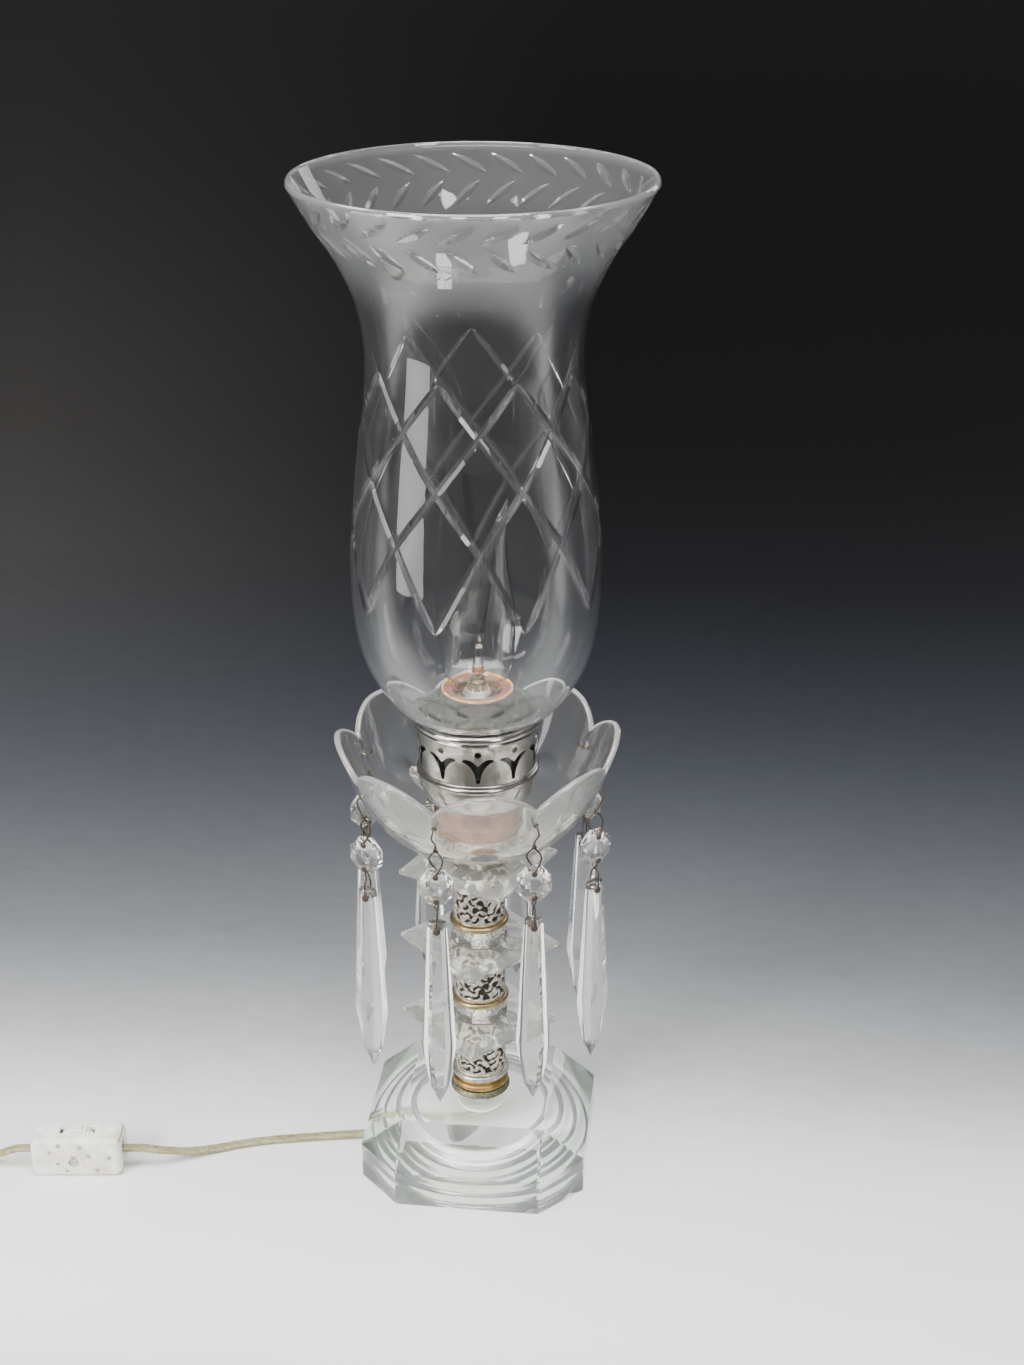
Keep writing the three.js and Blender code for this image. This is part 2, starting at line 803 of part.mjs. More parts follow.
function glassShade() {
  const last = shadeLine.length - 1;
  const inside = shadeLine.map(([radius, height], i) => {
    const before = shadeLine[Math.max(i - 1, 0)];
    const after = shadeLine[Math.min(i + 1, last)];
    const along = new THREE.Vector2(after[0] - before[0], after[1] - before[1]).normalize();
    return [radius - shadeWall * along.y, i === 0 ? height : height + shadeWall * along.x];
  }).reverse();
  const rim = [shadeRimRadius - 0.4, shadeStart + shadeHeight + 1.2];
  return turnedRing([...shadeLine, rim, ...inside], 32);
}

add('shade', glassShade(), 'clearGlass');

// Prism chains

const wireSection = ovalSection(2 * wireRadius, 2 * wireRadius, 4);

// The frame of one chain: its origin is the dish hole, X runs outwards, Z up
function chainGroup(k) {
  const group = new THREE.Group();
  const way = outward(chainAzimuth(k));
  group.position.set(chainRadius * way.x, chainRadius * way.y, holeHeight);
  group.rotation.z = radians(chainAzimuth(k) - 90);
  lamp.add(group);
  return group;
}

// Hook through the dish, then a bow whose two legs meet through the bead's upper hole
function hangerWire(turn) {
  const face = new THREE.Vector3(Math.cos(turn), Math.sin(turn), 0);
  const at = (out, drop) => face.clone().multiplyScalar(out).setZ(-drop);
  const upperHole = beadDrop - beadHoleOffset;
  const leg = beadThickness / 2 + 0.9;
  return tube([
    new THREE.Vector3(-5.4, 0, 2.6),
    new THREE.Vector3(-4.2, 0, 0.3),
    new THREE.Vector3(-2.2, 0, 0),
    new THREE.Vector3(2.4, 0, 0),
    new THREE.Vector3(4.4, 0, -1.6),
    new THREE.Vector3(4.0, 0, -6.5),
    new THREE.Vector3(1.2, 0, -12),
    at(1.4, upperHole - 11),
    at(leg, upperHole - 5),
    at(leg * 0.8, upperHole - 0.3),
    at(0, upperHole),
    at(-leg * 0.8, upperHole - 0.3),
    at(-leg, upperHole - 5),
    at(-1.6, upperHole - 9.6),
  ], wireSection, 17);
}

// Octagonal crystal: a faceted girdle between two smaller flat faces, drilled twice
function crystalBead(turn) {
  const corners = [];
  for (let i = 0; i < 8; i += 1) {
    const angle = ((i + 0.5) / 8) * 2 * Math.PI;
    for (const [share, depth] of [[1, 0.8], [0.55, beadThickness / 2]]) {
      const radius = (share * beadWidth) / 2;
      for (const side of [-1, 1]) {
        corners.push(new THREE.Vector3(side * depth, radius * Math.cos(angle), radius * Math.sin(angle)));
      }
    }
  }
  const hole = (rise) => new THREE.CylinderGeometry(beadHoleRadius, beadHoleRadius, 2 * beadThickness, 6)
    .rotateZ(Math.PI / 2)
    .translate(0, 0, rise);
  return cut(new ConvexGeometry(corners), [hole(beadHoleOffset), hole(-beadHoleOffset)])
    .rotateZ(turn)
    .translate(0, 0, -beadDrop);
}

// Spear prism: narrow flat top, eight sides widening to a shoulder, then a long point
function spearPrism() {
  const ring = (width, depth, drop) => {
    const [half, thick] = [width / 2, depth / 2];
    const edge = 0.3 * thick;
    const face = 0.42 * half;
    return [[half, edge], [face, thick], [-face, thick], [-half, edge],
      [-half, -edge], [-face, -thick], [face, -thick], [half, -edge],
    ].map(([y, x]) => new THREE.Vector3(x, y, -drop));
  };
  const shoulder = prismDrop + prismLength * prismShoulder;
  return new ConvexGeometry([
    ...ring(prismTopWidth, prismTopDepth, prismDrop),
    ...ring(prismWidth, prismDepth, shoulder),
    new THREE.Vector3(0, 0, -(prismDrop + prismLength)),
  ]);
}

// The wire loop from the bead's lower hole down through the prism, open at its back
function linkWire() {
  const leg = beadThickness / 2 + 0.9;
  const top = beadDrop + beadHoleOffset;
  const bottom = prismDrop + linkDepth;
  return tube([
    new THREE.Vector3(-leg * 0.95, 0, -(bottom - 9)),
    new THREE.Vector3(-leg, 0, -(bottom - 5)),
    new THREE.Vector3(-leg * 0.8, 0, -(bottom - 0.2)),
    new THREE.Vector3(0, 0, -bottom),
    new THREE.Vector3(leg * 0.8, 0, -(bottom - 0.2)),
    new THREE.Vector3(leg, 0, -(bottom - 5)),
    new THREE.Vector3(leg, 0, -(top + 5)),
    new THREE.Vector3(leg * 0.8, 0, -top),
    new THREE.Vector3(0, 0, -top),
    new THREE.Vector3(-leg * 0.8, 0, -top),
    new THREE.Vector3(-leg, 0, -(top + 4)),
  ], wireSection, 15);
}

for (let k = 0; k < petalCount; k += 1) {
  const chain = chainGroup(k);
  const turn = radians(faceTurns[k]);
  const number = k + 1;
  add(`hanger_wire_${number}`, hangerWire(turn), 'bronzeWire', chain);
  add(`crystal_bead_${number}`, crystalBead(turn), 'crystal', chain);
  add(`prism_${number}`, joined([spearPrism(), linkWire()]).rotateZ(turn), 'crystal', chain);
}

// Switch on the cord: two half shells and a thumb wheel, standing on a narrow side

const switchEnds = [
  new THREE.Vector3(-199.7, -46.9, switchHeight / 2),
  new THREE.Vector3(-253.3, -53.0, switchHeight / 2),
];
const wheelSlot = wheelThickness + 2 * turningClearance;
const wheelRise = switchHeight + wheelProud - wheelRadius;
const axleRadius = 2;
const axleEnd = switchThickness / 2 - 1.4;

// Half of the switch's shell in its own frame: X along the cord, Y across, Z up
function switchHalf(side) {
  const half = switchLength / 2;
  const edge = 2.5;
  const corners = [];
  for (const x of [-1, 1]) {
    for (const low of [true, false]) {
      const rim = low ? 0 : switchHeight;
      const inset = low ? edge : switchHeight - edge;
      const parting = (side * seatGap) / 2;
      const deep = (side * switchThickness) / 2;
      corners.push(new THREE.Vector3(x * half, parting, inset));
      corners.push(new THREE.Vector3(x * (half - edge), parting, rim));
      corners.push(new THREE.Vector3(x * half, deep - side * edge, inset));
      corners.push(new THREE.Vector3(x * (half - edge), deep - side * edge, rim));
      corners.push(new THREE.Vector3(x * (half - edge), deep, inset));
    }
  }
  const hollowDepth = switchThickness / 2 - switchWall;
  const hollow = new THREE.BoxGeometry(
    switchLength - 2 * switchWall - 6,
    2 * hollowDepth,
    switchHeight - 2 * switchWall,
  ).translate(0, 0, switchHeight / 2);
  const cordHole = new THREE.CylinderGeometry(1, 1, switchLength + 2, 16)
    .rotateZ(Math.PI / 2)
    .scale(1, cordWidth / 2 + turningClearance, cordThickness / 2 + turningClearance)
    .translate(0, 0, switchHeight / 2);
  const slotLength = 2 * wheelRadius - 1;
  const slot = new THREE.BoxGeometry(slotLength, wheelSlot, 2 * switchWall + 2)
    .translate(0, 0, switchHeight);
  const bearing = new THREE.CylinderGeometry(axleRadius + 0.3, axleRadius + 0.3, 2 * axleEnd + 0.6, 16)
    .translate(0, 0, wheelRise);
  return cut(new ConvexGeometry(corners), [hollow, cordHole, slot, bearing]);
}

// A ridged wheel with its axle through it
function thumbWheel() {
  const ridges = 24;
  const outline = Array.from({ length: 2 * ridges }, (_, i) => {
    const radius = wheelRadius - (i % 2 ? 0.6 : 0);
    const angle = (i / (2 * ridges)) * 2 * Math.PI;
    return new THREE.Vector2(radius * Math.cos(angle), radius * Math.sin(angle));
  });
  const disc = new THREE.ExtrudeGeometry(new THREE.Shape(outline), {
    depth: wheelThickness,
    bevelEnabled: false,
  }).translate(0, 0, -wheelThickness / 2).rotateX(Math.PI / 2);
  const axle = new THREE.CylinderGeometry(axleRadius, axleRadius, 2 * axleEnd, 16);
  return joined([disc, axle]).translate(0, 0, wheelRise);
}

const switchBody = new THREE.Group();
switchBody.position.copy(switchEnds[0].clone().add(switchEnds[1]).multiplyScalar(0.5).setZ(0));
switchBody.rotation.z = radians(switchTurn);
lamp.add(switchBody);
add('switch_front', switchHalf(-1), 'whitePlastic', switchBody);
add('switch_back', switchHalf(1), 'whitePlastic', switchBody);
add('switch_wheel', thumbWheel(), 'whitePlastic', switchBody);

// Cord

const floorHeight = cordThickness / 2 + 0.2;

// From inside the pipe, down into the recess, out through the groove and on to the switch
const leadPoints = [
  [0, 0, pipeBottom + 5],
  [-0.1, 0, pipeBottom + 1],
  [-2.2, -0.2, pipeBottom - 4.6],
  [-7.4, -0.6, 4.2],
  [-15, -1.3, 2.9],
  [-32, -2.8, 2.8],
  [-48, -4.2, 2.8],
  [-63.5, -5.6, 2.8],
  [-78, -7.6, 2.2],
  [-93, -10.4, floorHeight],
  [-108, -13.7, floorHeight],
  [-123.5, -17.5, floorHeight],
  [-138, -22.5, floorHeight],
  [-153, -29.5, 2.4],
  [-167, -37.5, 5.6],
  [-180, -43.2, 9.8],
  [-190.5, -45.8, switchHeight / 2 - 0.2],
];
const tailPoints = [
  [-262, -54, switchHeight / 2 - 0.4],
  [-272, -55, 8.6],
  [-284, -56, 4.6],
  [-297, -57, 2.3],
  [-312, -57.8, floorHeight],
  [-328, -58, floorHeight],
];
const coilStart = new THREE.Vector3(-345, -58, floorHeight);
const coilCentre = new THREE.Vector3(coilStart.x, coilStart.y + coilOuterRadius, floorHeight);

const asPoints = (list) => list.map(([x, y, z]) => new THREE.Vector3(x, y, z));
const sunk = switchWall - 0.4;
const alongSwitch = switchEnds[1].clone().sub(switchEnds[0]).normalize();
const leadEnd = switchEnds[0].clone().addScaledVector(alongSwitch, sunk);
const leadMouth = switchEnds[0].clone().addScaledVector(alongSwitch, -cordWidth / 2);
const tailStart = switchEnds[1].clone().addScaledVector(alongSwitch, -sunk);
const tailMouth = switchEnds[1].clone().addScaledVector(alongSwitch, cordWidth / 2);

const lead = [...asPoints(leadPoints), leadMouth, leadEnd];
const tailEnd = coilStart.clone().setX(coilStart.x + 0.5);
const tail = [tailStart, tailMouth, ...asPoints(tailPoints), tailEnd];
add('cord_lead', tube(lead, ovalSection(cordWidth, cordThickness, 8), 30), 'cordVinyl');
add('cord_tail', tube(tail, ovalSection(cordThickness, cordWidth, 8), 14), 'cordVinyl');

// The coil: it spirals in on the floor, climbs onto itself where it reverses, and spirals
// back out, ending straight towards the plug. Every turn has the same number of steps.
class WoundCurve extends THREE.Curve {
  constructor(turns, leadOut) {
    super();
    this.turns = turns;
    this.leadSteps = leadOut;
    this.steps = turns * coilStepsPerTurn + leadOut;
  }

  wound(turn) {
    const half = this.turns / 2;
    const radius = coilOuterRadius - coilTurnPitch * (half - Math.abs(half - turn));
    const climb = THREE.MathUtils.smoothstep(turn, half - 0.25, half + 0.25);
    const angle = radians(-90) - turn * 2 * Math.PI;
    return new THREE.Vector3(
      coilCentre.x + radius * Math.cos(angle),
      coilCentre.y + radius * Math.sin(angle),
      floorHeight + climb * (coilLayers - 1) * coilLayerPitch,
    );
  }

  getPoint(t, target = new THREE.Vector3()) {
    const step = t * this.steps;
    const turn = Math.min(step / coilStepsPerTurn, this.turns);
    const point = this.wound(turn);
    const beyond = step / coilStepsPerTurn - turn;
    if (beyond > 0) {
      point.y += (beyond * coilStepsPerTurn * coilLeadOut) / this.leadSteps;
    }
    return target.copy(point);
  }

  getUtoTmapping(u) {
    return u;
  }
}

const coil = new WoundCurve(coilTurns, 4);
add('cord_coil', tube([], ovalSection(cordThickness, cordWidth, 6), coil.steps, coil), 'cordVinyl');

// The least gap between two stretches of the coil that lie a quarter turn or more apart
function leastCoilGap() {
  const points = coil.getPoints(coil.steps);
  let least = Infinity;
  for (let i = 0; i < points.length; i += 1) {
    for (let j = i + coilStepsPerTurn / 4; j < points.length; j += 1) {
      const across = Math.hypot(points[i].x - points[j].x, points[i].y - points[j].y);
      const up = Math.abs(points[i].z - points[j].z);
      const reach = Math.hypot(across, up);
      const way = Math.hypot((across / reach / cordWidth) * 2, (up / reach / cordThickness) * 2);
      least = Math.min(least, reach - 2 / way);
    }
  }
  return least;
}
console.log(`least gap inside the coil: ${leastCoilGap().toFixed(2)} mm`);
console.log(`cord: lead ${new THREE.CatmullRomCurve3(lead).getLength().toFixed(0)} mm, `
  + `tail ${new THREE.CatmullRomCurve3(tail).getLength().toFixed(0)} mm, `
  + `coil ${coil.getLength().toFixed(0)} mm`);

// Plug lying beside the coil, its blades pointing to +Y

const plugStart = coil.getPoint(1);
plugStart.y -= 2;

function plugBody() {
  const corners = [];
  const nose = 9;
  const edge = 2;
  for (const x of [-1, 1]) {
    for (const [along, width, low, high] of [
      [0, 9, plugStart.z - 3.6, plugStart.z + 3.6],
      [nose, plugWidth - 3, 1, plugHeight - 0.6],
      [nose + 6, plugWidth, 0, plugHeight],
      [plugLength - edge, plugWidth, 0, plugHeight],
      [plugLength, plugWidth - 2 * edge, edge, plugHeight - edge],
    ]) {
      const side = (x * width) / 2;
      corners.push(new THREE.Vector3(side, along, low + edge / 2));
      corners.push(new THREE.Vector3(side, along, high - edge / 2));
      corners.push(new THREE.Vector3(side - x * edge, along, low));
      corners.push(new THREE.Vector3(side - x * edge, along, high));
    }
  }
  const cordHole = new THREE.CylinderGeometry(1, 1, 8, 16)
    .scale(cordWidth / 2 + seatGap, 1, cordThickness / 2 + seatGap)
    .translate(0, 0, plugStart.z);
  const slots = [-1, 1].map((side) => new THREE.BoxGeometry(
    bladeThickness + 0.2,
    2 * (bladeSink + 0.1),
    bladeWidth + 0.2,
  ).translate((side * bladeSpacing) / 2, plugLength, plugStart.z));
  return cut(new ConvexGeometry(corners), [cordHole, ...slots]);
}

function plugBlade(side) {
  const half = bladeWidth / 2;
  const blade = new THREE.Shape([
    new THREE.Vector2(-bladeSink, -half),
    new THREE.Vector2(bladeLength - 1.5, -half),
    new THREE.Vector2(bladeLength, -half + 1.5),
    new THREE.Vector2(bladeLength, half - 1.5),
    new THREE.Vector2(bladeLength - 1.5, half),
    new THREE.Vector2(-bladeSink, half),
  ]);
  blade.holes.push(new THREE.Path().absarc(bladeLength - 4.5, 0, 1.5, 0, 2 * Math.PI));
  return new THREE.ExtrudeGeometry(blade, { depth: bladeThickness, bevelEnabled: false, curveSegments: 8 })
    .translate(0, 0, -bladeThickness / 2)
    .rotateX(Math.PI / 2)
    .rotateZ(Math.PI / 2)
    .translate((side * bladeSpacing) / 2, plugLength, plugStart.z);
}

const plug = new THREE.Group();
plug.position.set(plugStart.x, plugStart.y, 0);
lamp.add(plug);
add('plug_body', plugBody(), 'whiteVinyl', plug);
add('plug_blade_1', plugBlade(-1), 'brass', plug);
add('plug_blade_2', plugBlade(1), 'brass', plug);

export default lamp;
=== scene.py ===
"""Boudoir table lamp: clear cut-glass shade, pierced nickel holder, scalloped glass dish hung
with prisms, a column of filigree sleeves, brass rings and glass breaks, and a cut-glass base.

All sizes are millimetres in the CAD model's own frame: +Z up, the front of the lamp faces -Y,
the origin under the middle of the base. Angles named azimuth count from -Y towards +X.
"""

import math

import bmesh
import bpy
import numpy as np
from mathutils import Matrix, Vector
from mathutils.geometry import delaunay_2d_cdt


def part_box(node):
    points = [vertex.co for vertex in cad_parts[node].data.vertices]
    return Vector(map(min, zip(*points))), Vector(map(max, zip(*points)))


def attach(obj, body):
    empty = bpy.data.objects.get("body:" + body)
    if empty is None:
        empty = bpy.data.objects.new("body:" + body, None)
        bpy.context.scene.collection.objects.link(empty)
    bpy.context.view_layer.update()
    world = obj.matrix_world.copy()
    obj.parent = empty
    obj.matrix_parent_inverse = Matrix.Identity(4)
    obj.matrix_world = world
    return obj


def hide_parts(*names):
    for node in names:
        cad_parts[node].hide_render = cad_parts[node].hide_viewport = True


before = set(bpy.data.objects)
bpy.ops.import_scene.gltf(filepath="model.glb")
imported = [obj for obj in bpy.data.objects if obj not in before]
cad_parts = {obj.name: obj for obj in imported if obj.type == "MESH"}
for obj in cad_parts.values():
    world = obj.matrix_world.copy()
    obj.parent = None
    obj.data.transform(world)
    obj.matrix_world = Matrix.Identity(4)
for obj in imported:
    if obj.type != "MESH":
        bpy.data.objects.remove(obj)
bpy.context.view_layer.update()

MM = 0.001

# Places along the axis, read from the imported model
top_of = {name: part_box(name)[1][2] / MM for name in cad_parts}
foot_of = {name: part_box(name)[0][2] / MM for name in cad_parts}


def radius_of(name):
    """Half the width of a turned node, in millimetres."""
    low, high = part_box(name)
    return (high[0] - low[0]) / 2 / MM


def extent(name):
    """Foot, top and radius of a turned node."""
    return foot_of[name], top_of[name], radius_of(name)


# Meshes

def linked(name, data):
    """New object in the scene for a mesh, a camera or a light."""
    made = bpy.data.objects.new(name, data)
    bpy.context.scene.collection.objects.link(made)
    return made


def creased(mesh, smooth_angle):
    """Shades a mesh smooth but for the edges that turn by more than the angle, in degrees."""
    mesh.shade_smooth()
    mesh.set_sharp_from_angle(angle=math.radians(smooth_angle))


def closed_mesh(name, points, faces, smooth_angle=35.0):
    """Object from points in millimetres; merges doubles, turns faces outward, keeps edges sharp."""
    mesh = bpy.data.meshes.new(name)
    mesh.from_pydata((np.asarray(points, float) * MM).tolist(), [], faces)
    tidy = bmesh.new()
    tidy.from_mesh(mesh)
    bmesh.ops.remove_doubles(tidy, verts=tidy.verts, dist=2e-7)
    bmesh.ops.dissolve_degenerate(tidy, edges=tidy.edges, dist=1e-7)
    bmesh.ops.recalc_face_normals(tidy, faces=tidy.faces)
    tidy.to_mesh(mesh)
    tidy.free()
    creased(mesh, smooth_angle)
    return linked(name, mesh)


def quads(rows, around, wrap_rows, wrap_around=True):
    """Index quads of a rows x around grid of points."""
    r = np.arange(rows if wrap_rows else rows - 1)
    a = np.arange(around if wrap_around else around - 1)
    r, a = np.meshgrid(r, a, indexing="ij")
    r2, a2 = (r + 1) % rows, (a + 1) % around
    return np.stack([r * around + a, r * around + a2, r2 * around + a2, r2 * around + a], -1).reshape(-1, 4)


def loft(name, rings, wrap=False, smooth_angle=35.0):
    """Skin over a (rings, around, 3) array; the end rings are closed with a face unless they wrap."""
    rings = np.asarray(rings, float)
    count, around = rings.shape[:2]
    faces = quads(count, around, wrap).tolist()
    if not wrap:
        faces.append(list(range(around)))
        faces.append(list(range((count - 1) * around, count * around)))
    return closed_mesh(name, rings.reshape(-1, 3), faces, smooth_angle)


def full_turn(count):
    """Angles of count points evenly spaced round a circle."""
    return np.linspace(0, 2 * math.pi, count, endpoint=False)


def unit(vectors):
    """The same directions at length one."""
    return vectors / np.linalg.norm(vectors, axis=-1, keepdims=True)


def run_along(line):
    """Length of a line up to each of its points."""
    return np.concatenate([[0], np.cumsum(np.linalg.norm(np.diff(line, axis=0), axis=1))])


def eased(share):
    """Share from 0 to 1 with a soft start and end."""
    return share * share * (3 - 2 * share)


def spun(points, angle):
    """Points turned about +Z by an angle in radians."""
    points = np.asarray(points, float)
    x, y = points[..., 0], points[..., 1]
    flat = np.stack([x * math.cos(angle) - y * math.sin(angle), x * math.sin(angle) + y * math.cos(angle)], -1)
    return np.concatenate([flat, points[..., 2:]], -1)


def way_out(azimuth):
    """Unit vectors outwards at an azimuth in degrees, and sideways from it."""
    turn = math.radians(azimuth)
    return np.array([math.sin(turn), -math.cos(turn), 0.0]), np.array([math.cos(turn), math.sin(turn), 0.0])


def framed(points, origin, out, side):
    """From a frame of its own (X out, Y to the side, Z up) to the lamp's."""
    points = np.asarray(points, float)
    return origin + points[..., :1] * out + points[..., 1:2] * side + points[..., 2:] * (0, 0, 1)


def turned_points(profile, around=160):
    """Rings of points: each [radius, height] of the profile carried round the axis."""
    profile = np.asarray(profile, float)
    turn = full_turn(around)
    x = profile[:, :1] * np.sin(turn)
    y = -profile[:, :1] * np.cos(turn)
    z = np.repeat(profile[:, 1:2], around, axis=1)
    return np.stack([x, y, z], -1)


def turned(name, profile, around=160, smooth_angle=35.0):
    """Solid of revolution about the axis; the profile closes on itself."""
    return loft(name, turned_points(profile, around), wrap=True, smooth_angle=smooth_angle)


def arc(centre, radius, start, end, count=9):
    """Points of an arc in the radius-height plane, degrees from the outward direction."""
    angle = np.radians(np.linspace(start, end, count))
    return np.stack([centre[0] + radius * np.cos(angle), centre[1] + radius * np.sin(angle)], -1).tolist()


def smooth_line(points, count):
    """Centripetal Catmull-Rom curve through points, as count evenly spaced points."""
    points = np.asarray(points, float)
    points = np.vstack([2 * points[0] - points[1], points, 2 * points[-1] - points[-2]])
    knots = np.concatenate([[0], np.cumsum(np.linalg.norm(np.diff(points, axis=0), axis=1) ** 0.5)])
    fine = []
    for i in range(1, len(points) - 2):
        p0, p1, p2, p3 = points[i - 1:i + 3]
        t0, t1, t2, t3 = knots[i - 1:i + 3]
        t = np.linspace(t1, t2, 24, endpoint=False)[:, None]
        a1 = (t1 - t) / (t1 - t0) * p0 + (t - t0) / (t1 - t0) * p1
        a2 = (t2 - t) / (t2 - t1) * p1 + (t - t1) / (t2 - t1) * p2
        a3 = (t3 - t) / (t3 - t2) * p2 + (t - t2) / (t3 - t2) * p3
        b1 = (t2 - t) / (t2 - t0) * a1 + (t - t0) / (t2 - t0) * a2
        b2 = (t3 - t) / (t3 - t1) * a2 + (t - t1) / (t3 - t1) * a3
        fine.append((t2 - t) / (t2 - t1) * b1 + (t - t1) / (t2 - t1) * b2)
    fine = np.vstack(fine + [points[-2][None]])
    length = run_along(fine)
    at = np.linspace(0, length[-1], count)
    return np.stack([np.interp(at, length, fine[:, k]) for k in range(points.shape[1])], -1)


NO_WIRE_WAY = (0.31, 0.2, 0.93)


def wire(name, path, radius, sides=10):
    """Round wire along a path: a circle carried by a frame that turns as little as it can."""
    path = np.asarray(path, float)
    tangents = unit(np.gradient(path, axis=0))
    side = np.cross(tangents[0], NO_WIRE_WAY)
    turn = full_turn(sides)
    rings = []
    for point, tangent in zip(path, tangents):
        side = unit(side - tangent * side.dot(tangent))
        up = np.cross(tangent, side)
        rings.append(point + radius * (np.outer(np.cos(turn), side) + np.outer(np.sin(turn), up)))
    return loft(name, rings, smooth_angle=60)


def cut_out(piece, cutters, smooth_angle=35.0):
    """Takes the cutters' volume away from the piece for good, and removes the cutters."""
    cutter = joined("cutter", cutters) if len(cutters) > 1 else cutters[0]
    boolean = piece.modifiers.new("cut", "BOOLEAN")
    boolean.operation = "DIFFERENCE"
    boolean.solver = "EXACT"
    boolean.object = cutter
    bpy.context.view_layer.update()
    result = bpy.data.meshes.new_from_object(piece.evaluated_get(bpy.context.evaluated_depsgraph_get()))
    piece.modifiers.clear()
    piece.data = result
    bpy.data.objects.remove(cutter, do_unlink=True)
    creased(result, smooth_angle)
    return piece


def marked(piece, mark, share):
    """Writes a share between 0 and 1 at each vertex, worked out from its place in millimetres."""
    points = np.array([vertex.co for vertex in piece.data.vertices]) / MM
    marks = piece.data.attributes.new(mark, "FLOAT", "POINT")
    marks.data.foreach_set("value", share(points).astype(np.float32))
    return piece


def joined(name, pieces):
    """One object from several that belong together."""
    bpy.ops.object.select_all(action="DESELECT")
    for piece in pieces:
        piece.select_set(True)
    bpy.context.view_layer.objects.active = pieces[0]
    bpy.ops.object.join()
    pieces[0].name = name
    pieces[0].data.name = name
    return pieces[0]


def put(piece, finish, slot, *node_names, body="lamp"):
    """Gives the piece its finish, rides it on its body and hides the nodes it stands for; the slot is not used."""
    finish.on(piece)
    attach(piece, body)
    if node_names:
        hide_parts(*node_names)


# Materials

class Nodes:
    """A node tree, and short ways to add nodes fed by values or by other nodes' outputs."""

    def __init__(self, tree):
        self.nodes = tree.nodes
        self.links = tree.links

    def feed(self, node, key, value):
        if isinstance(value, bpy.types.NodeSocket):
            self.links.new(value, node.inputs[key])
        else:
            node.inputs[key].default_value = value

    def node(self, kind, inputs=(), **settings):
        made = self.nodes.new(kind)
        for key, value in settings.items():
            setattr(made, key, value)
        for key, value in dict(inputs).items():
            self.feed(made, key, value)
        return made

    def ramp(self, value, stops, interpolation="LINEAR"):
        made = self.node("ShaderNodeValToRGB", {"Fac": value})
        made.color_ramp.interpolation = interpolation
        elements = made.color_ramp.elements
        while len(elements) < len(stops):
            elements.new(0.5)
        for element, (position, colour) in zip(elements, stops):
            element.position = position
            element.color = (*colour, 1)
        return made.outputs[0]

    def mix(self, amount, first, second, blend="MIX"):
        made = self.node("ShaderNodeMix", data_type="RGBA", blend_type=blend)
        for index, value in ((0, amount), (6, first), (7, second)):
            self.feed(made, index, (*value, 1) if isinstance(value, tuple) else value)
        return made.outputs[2]

    def math(self, operation, first, second=0.0, clamp=False):
        made = self.node("ShaderNodeMath", {0: first, 1: second}, operation=operation, use_clamp=clamp)
        return made.outputs[0]

    def range(self, value, low, high, to_low, to_high):
        made = self.node("ShaderNodeMapRange", {
            "Value": value, "From Min": low, "From Max": high, "To Min": to_low, "To Max": to_high})
        return made.outputs[0]


class Finish(Nodes):
    """A material; its patterns lie in the object's own metres."""

    def __init__(self, name, colour, roughness, **sockets):
        self.material = bpy.data.materials.new(name)
        self.material.use_nodes = True
        super().__init__(self.material.node_tree)
        self.shader = self.nodes["Principled BSDF"]
        for socket, value in {"Base_Color": (*colour, 1), "Roughness": roughness, **sockets}.items():
            self.shader.inputs[socket.replace("_", " ")].default_value = value
        self.place = self.nodes.new("ShaderNodeTexCoord").outputs["Object"]

    def noise(self, scale, detail=4.0, roughness=0.6, stretch=(1, 1, 1)):
        """Noise with features of about one over scale metres."""
        mapped = self.node("ShaderNodeMapping", {"Vector": self.place, "Scale": stretch})
        made = self.node("ShaderNodeTexNoise", {
            "Vector": mapped.outputs[0], "Scale": scale, "Detail": detail, "Roughness": roughness})
        return made.outputs[0]

    def attribute(self, name):
        return self.node("ShaderNodeAttribute", attribute_name=name).outputs["Fac"]

    def drive(self, socket, value):
        self.links.new(value, self.shader.inputs[socket])

    def bump(self, height, distance, strength=1.0):
        """Relief of a real depth in metres."""
        made = self.node("ShaderNodeBump", {"Height": height, "Distance": distance, "Strength": strength})
        self.drive("Normal", made.outputs[0])

    def on(self, piece):
        piece.data.materials.clear()
        piece.data.materials.append(self.material)


def clear_glass(name, tint, ior=1.5, haze=0.03, dust=0.05, milky_dust_and_painted_light=0.0, frost_and_painted_light=0.0):
    """Polished clear glass with smears, a milky film that is partly dust and partly painted light, and pale frosting
    that is partly ground edges and partly painted highlights on rims and cuts.
    """
    glass = Finish(name, tint, haze, Transmission_Weight=1.0, IOR=ior)
    # Partly painted light: the milky share is dust, and also a pale diffuse share standing in for light caught inside
    # the glass
    film = glass.range(glass.noise(90, detail=5, roughness=0.65), 0.35, 0.65, milky_dust_and_painted_light * 0.7, milky_dust_and_painted_light * 1.3)
    # Partly painted highlight: frosted rims and cuts show pale, as ground edges do, and brighter than polished glass
    # would
    if frost_and_painted_light:
        film = glass.math("ADD", film, glass.math("MULTIPLY", glass.attribute("frost_and_painted_light"), frost_and_painted_light))
    glass.drive("Transmission Weight", glass.math("SUBTRACT", 1.0, film, clamp=True))
    path = glass.node("ShaderNodeLightPath")
    through = glass.node("ShaderNodeBsdfTransparent", {"Color": (*(0.4 + 0.6 * t for t in tint), 1)})
    either = glass.node("ShaderNodeMixShader", {
        0: path.outputs["Is Shadow Ray"], 1: glass.shader.outputs[0], 2: through.outputs[0]})
    glass.links.new(either.outputs[0], glass.nodes["Material Output"].inputs["Surface"])
    smears = glass.noise(60, detail=5, stretch=(1, 1, 0.35))
    glass.drive("Roughness", glass.range(smears, 0.45, 0.8, haze * 0.3, haze + dust))
    glass.bump(glass.noise(45, detail=1), 0.0002, 0.25)
    return glass


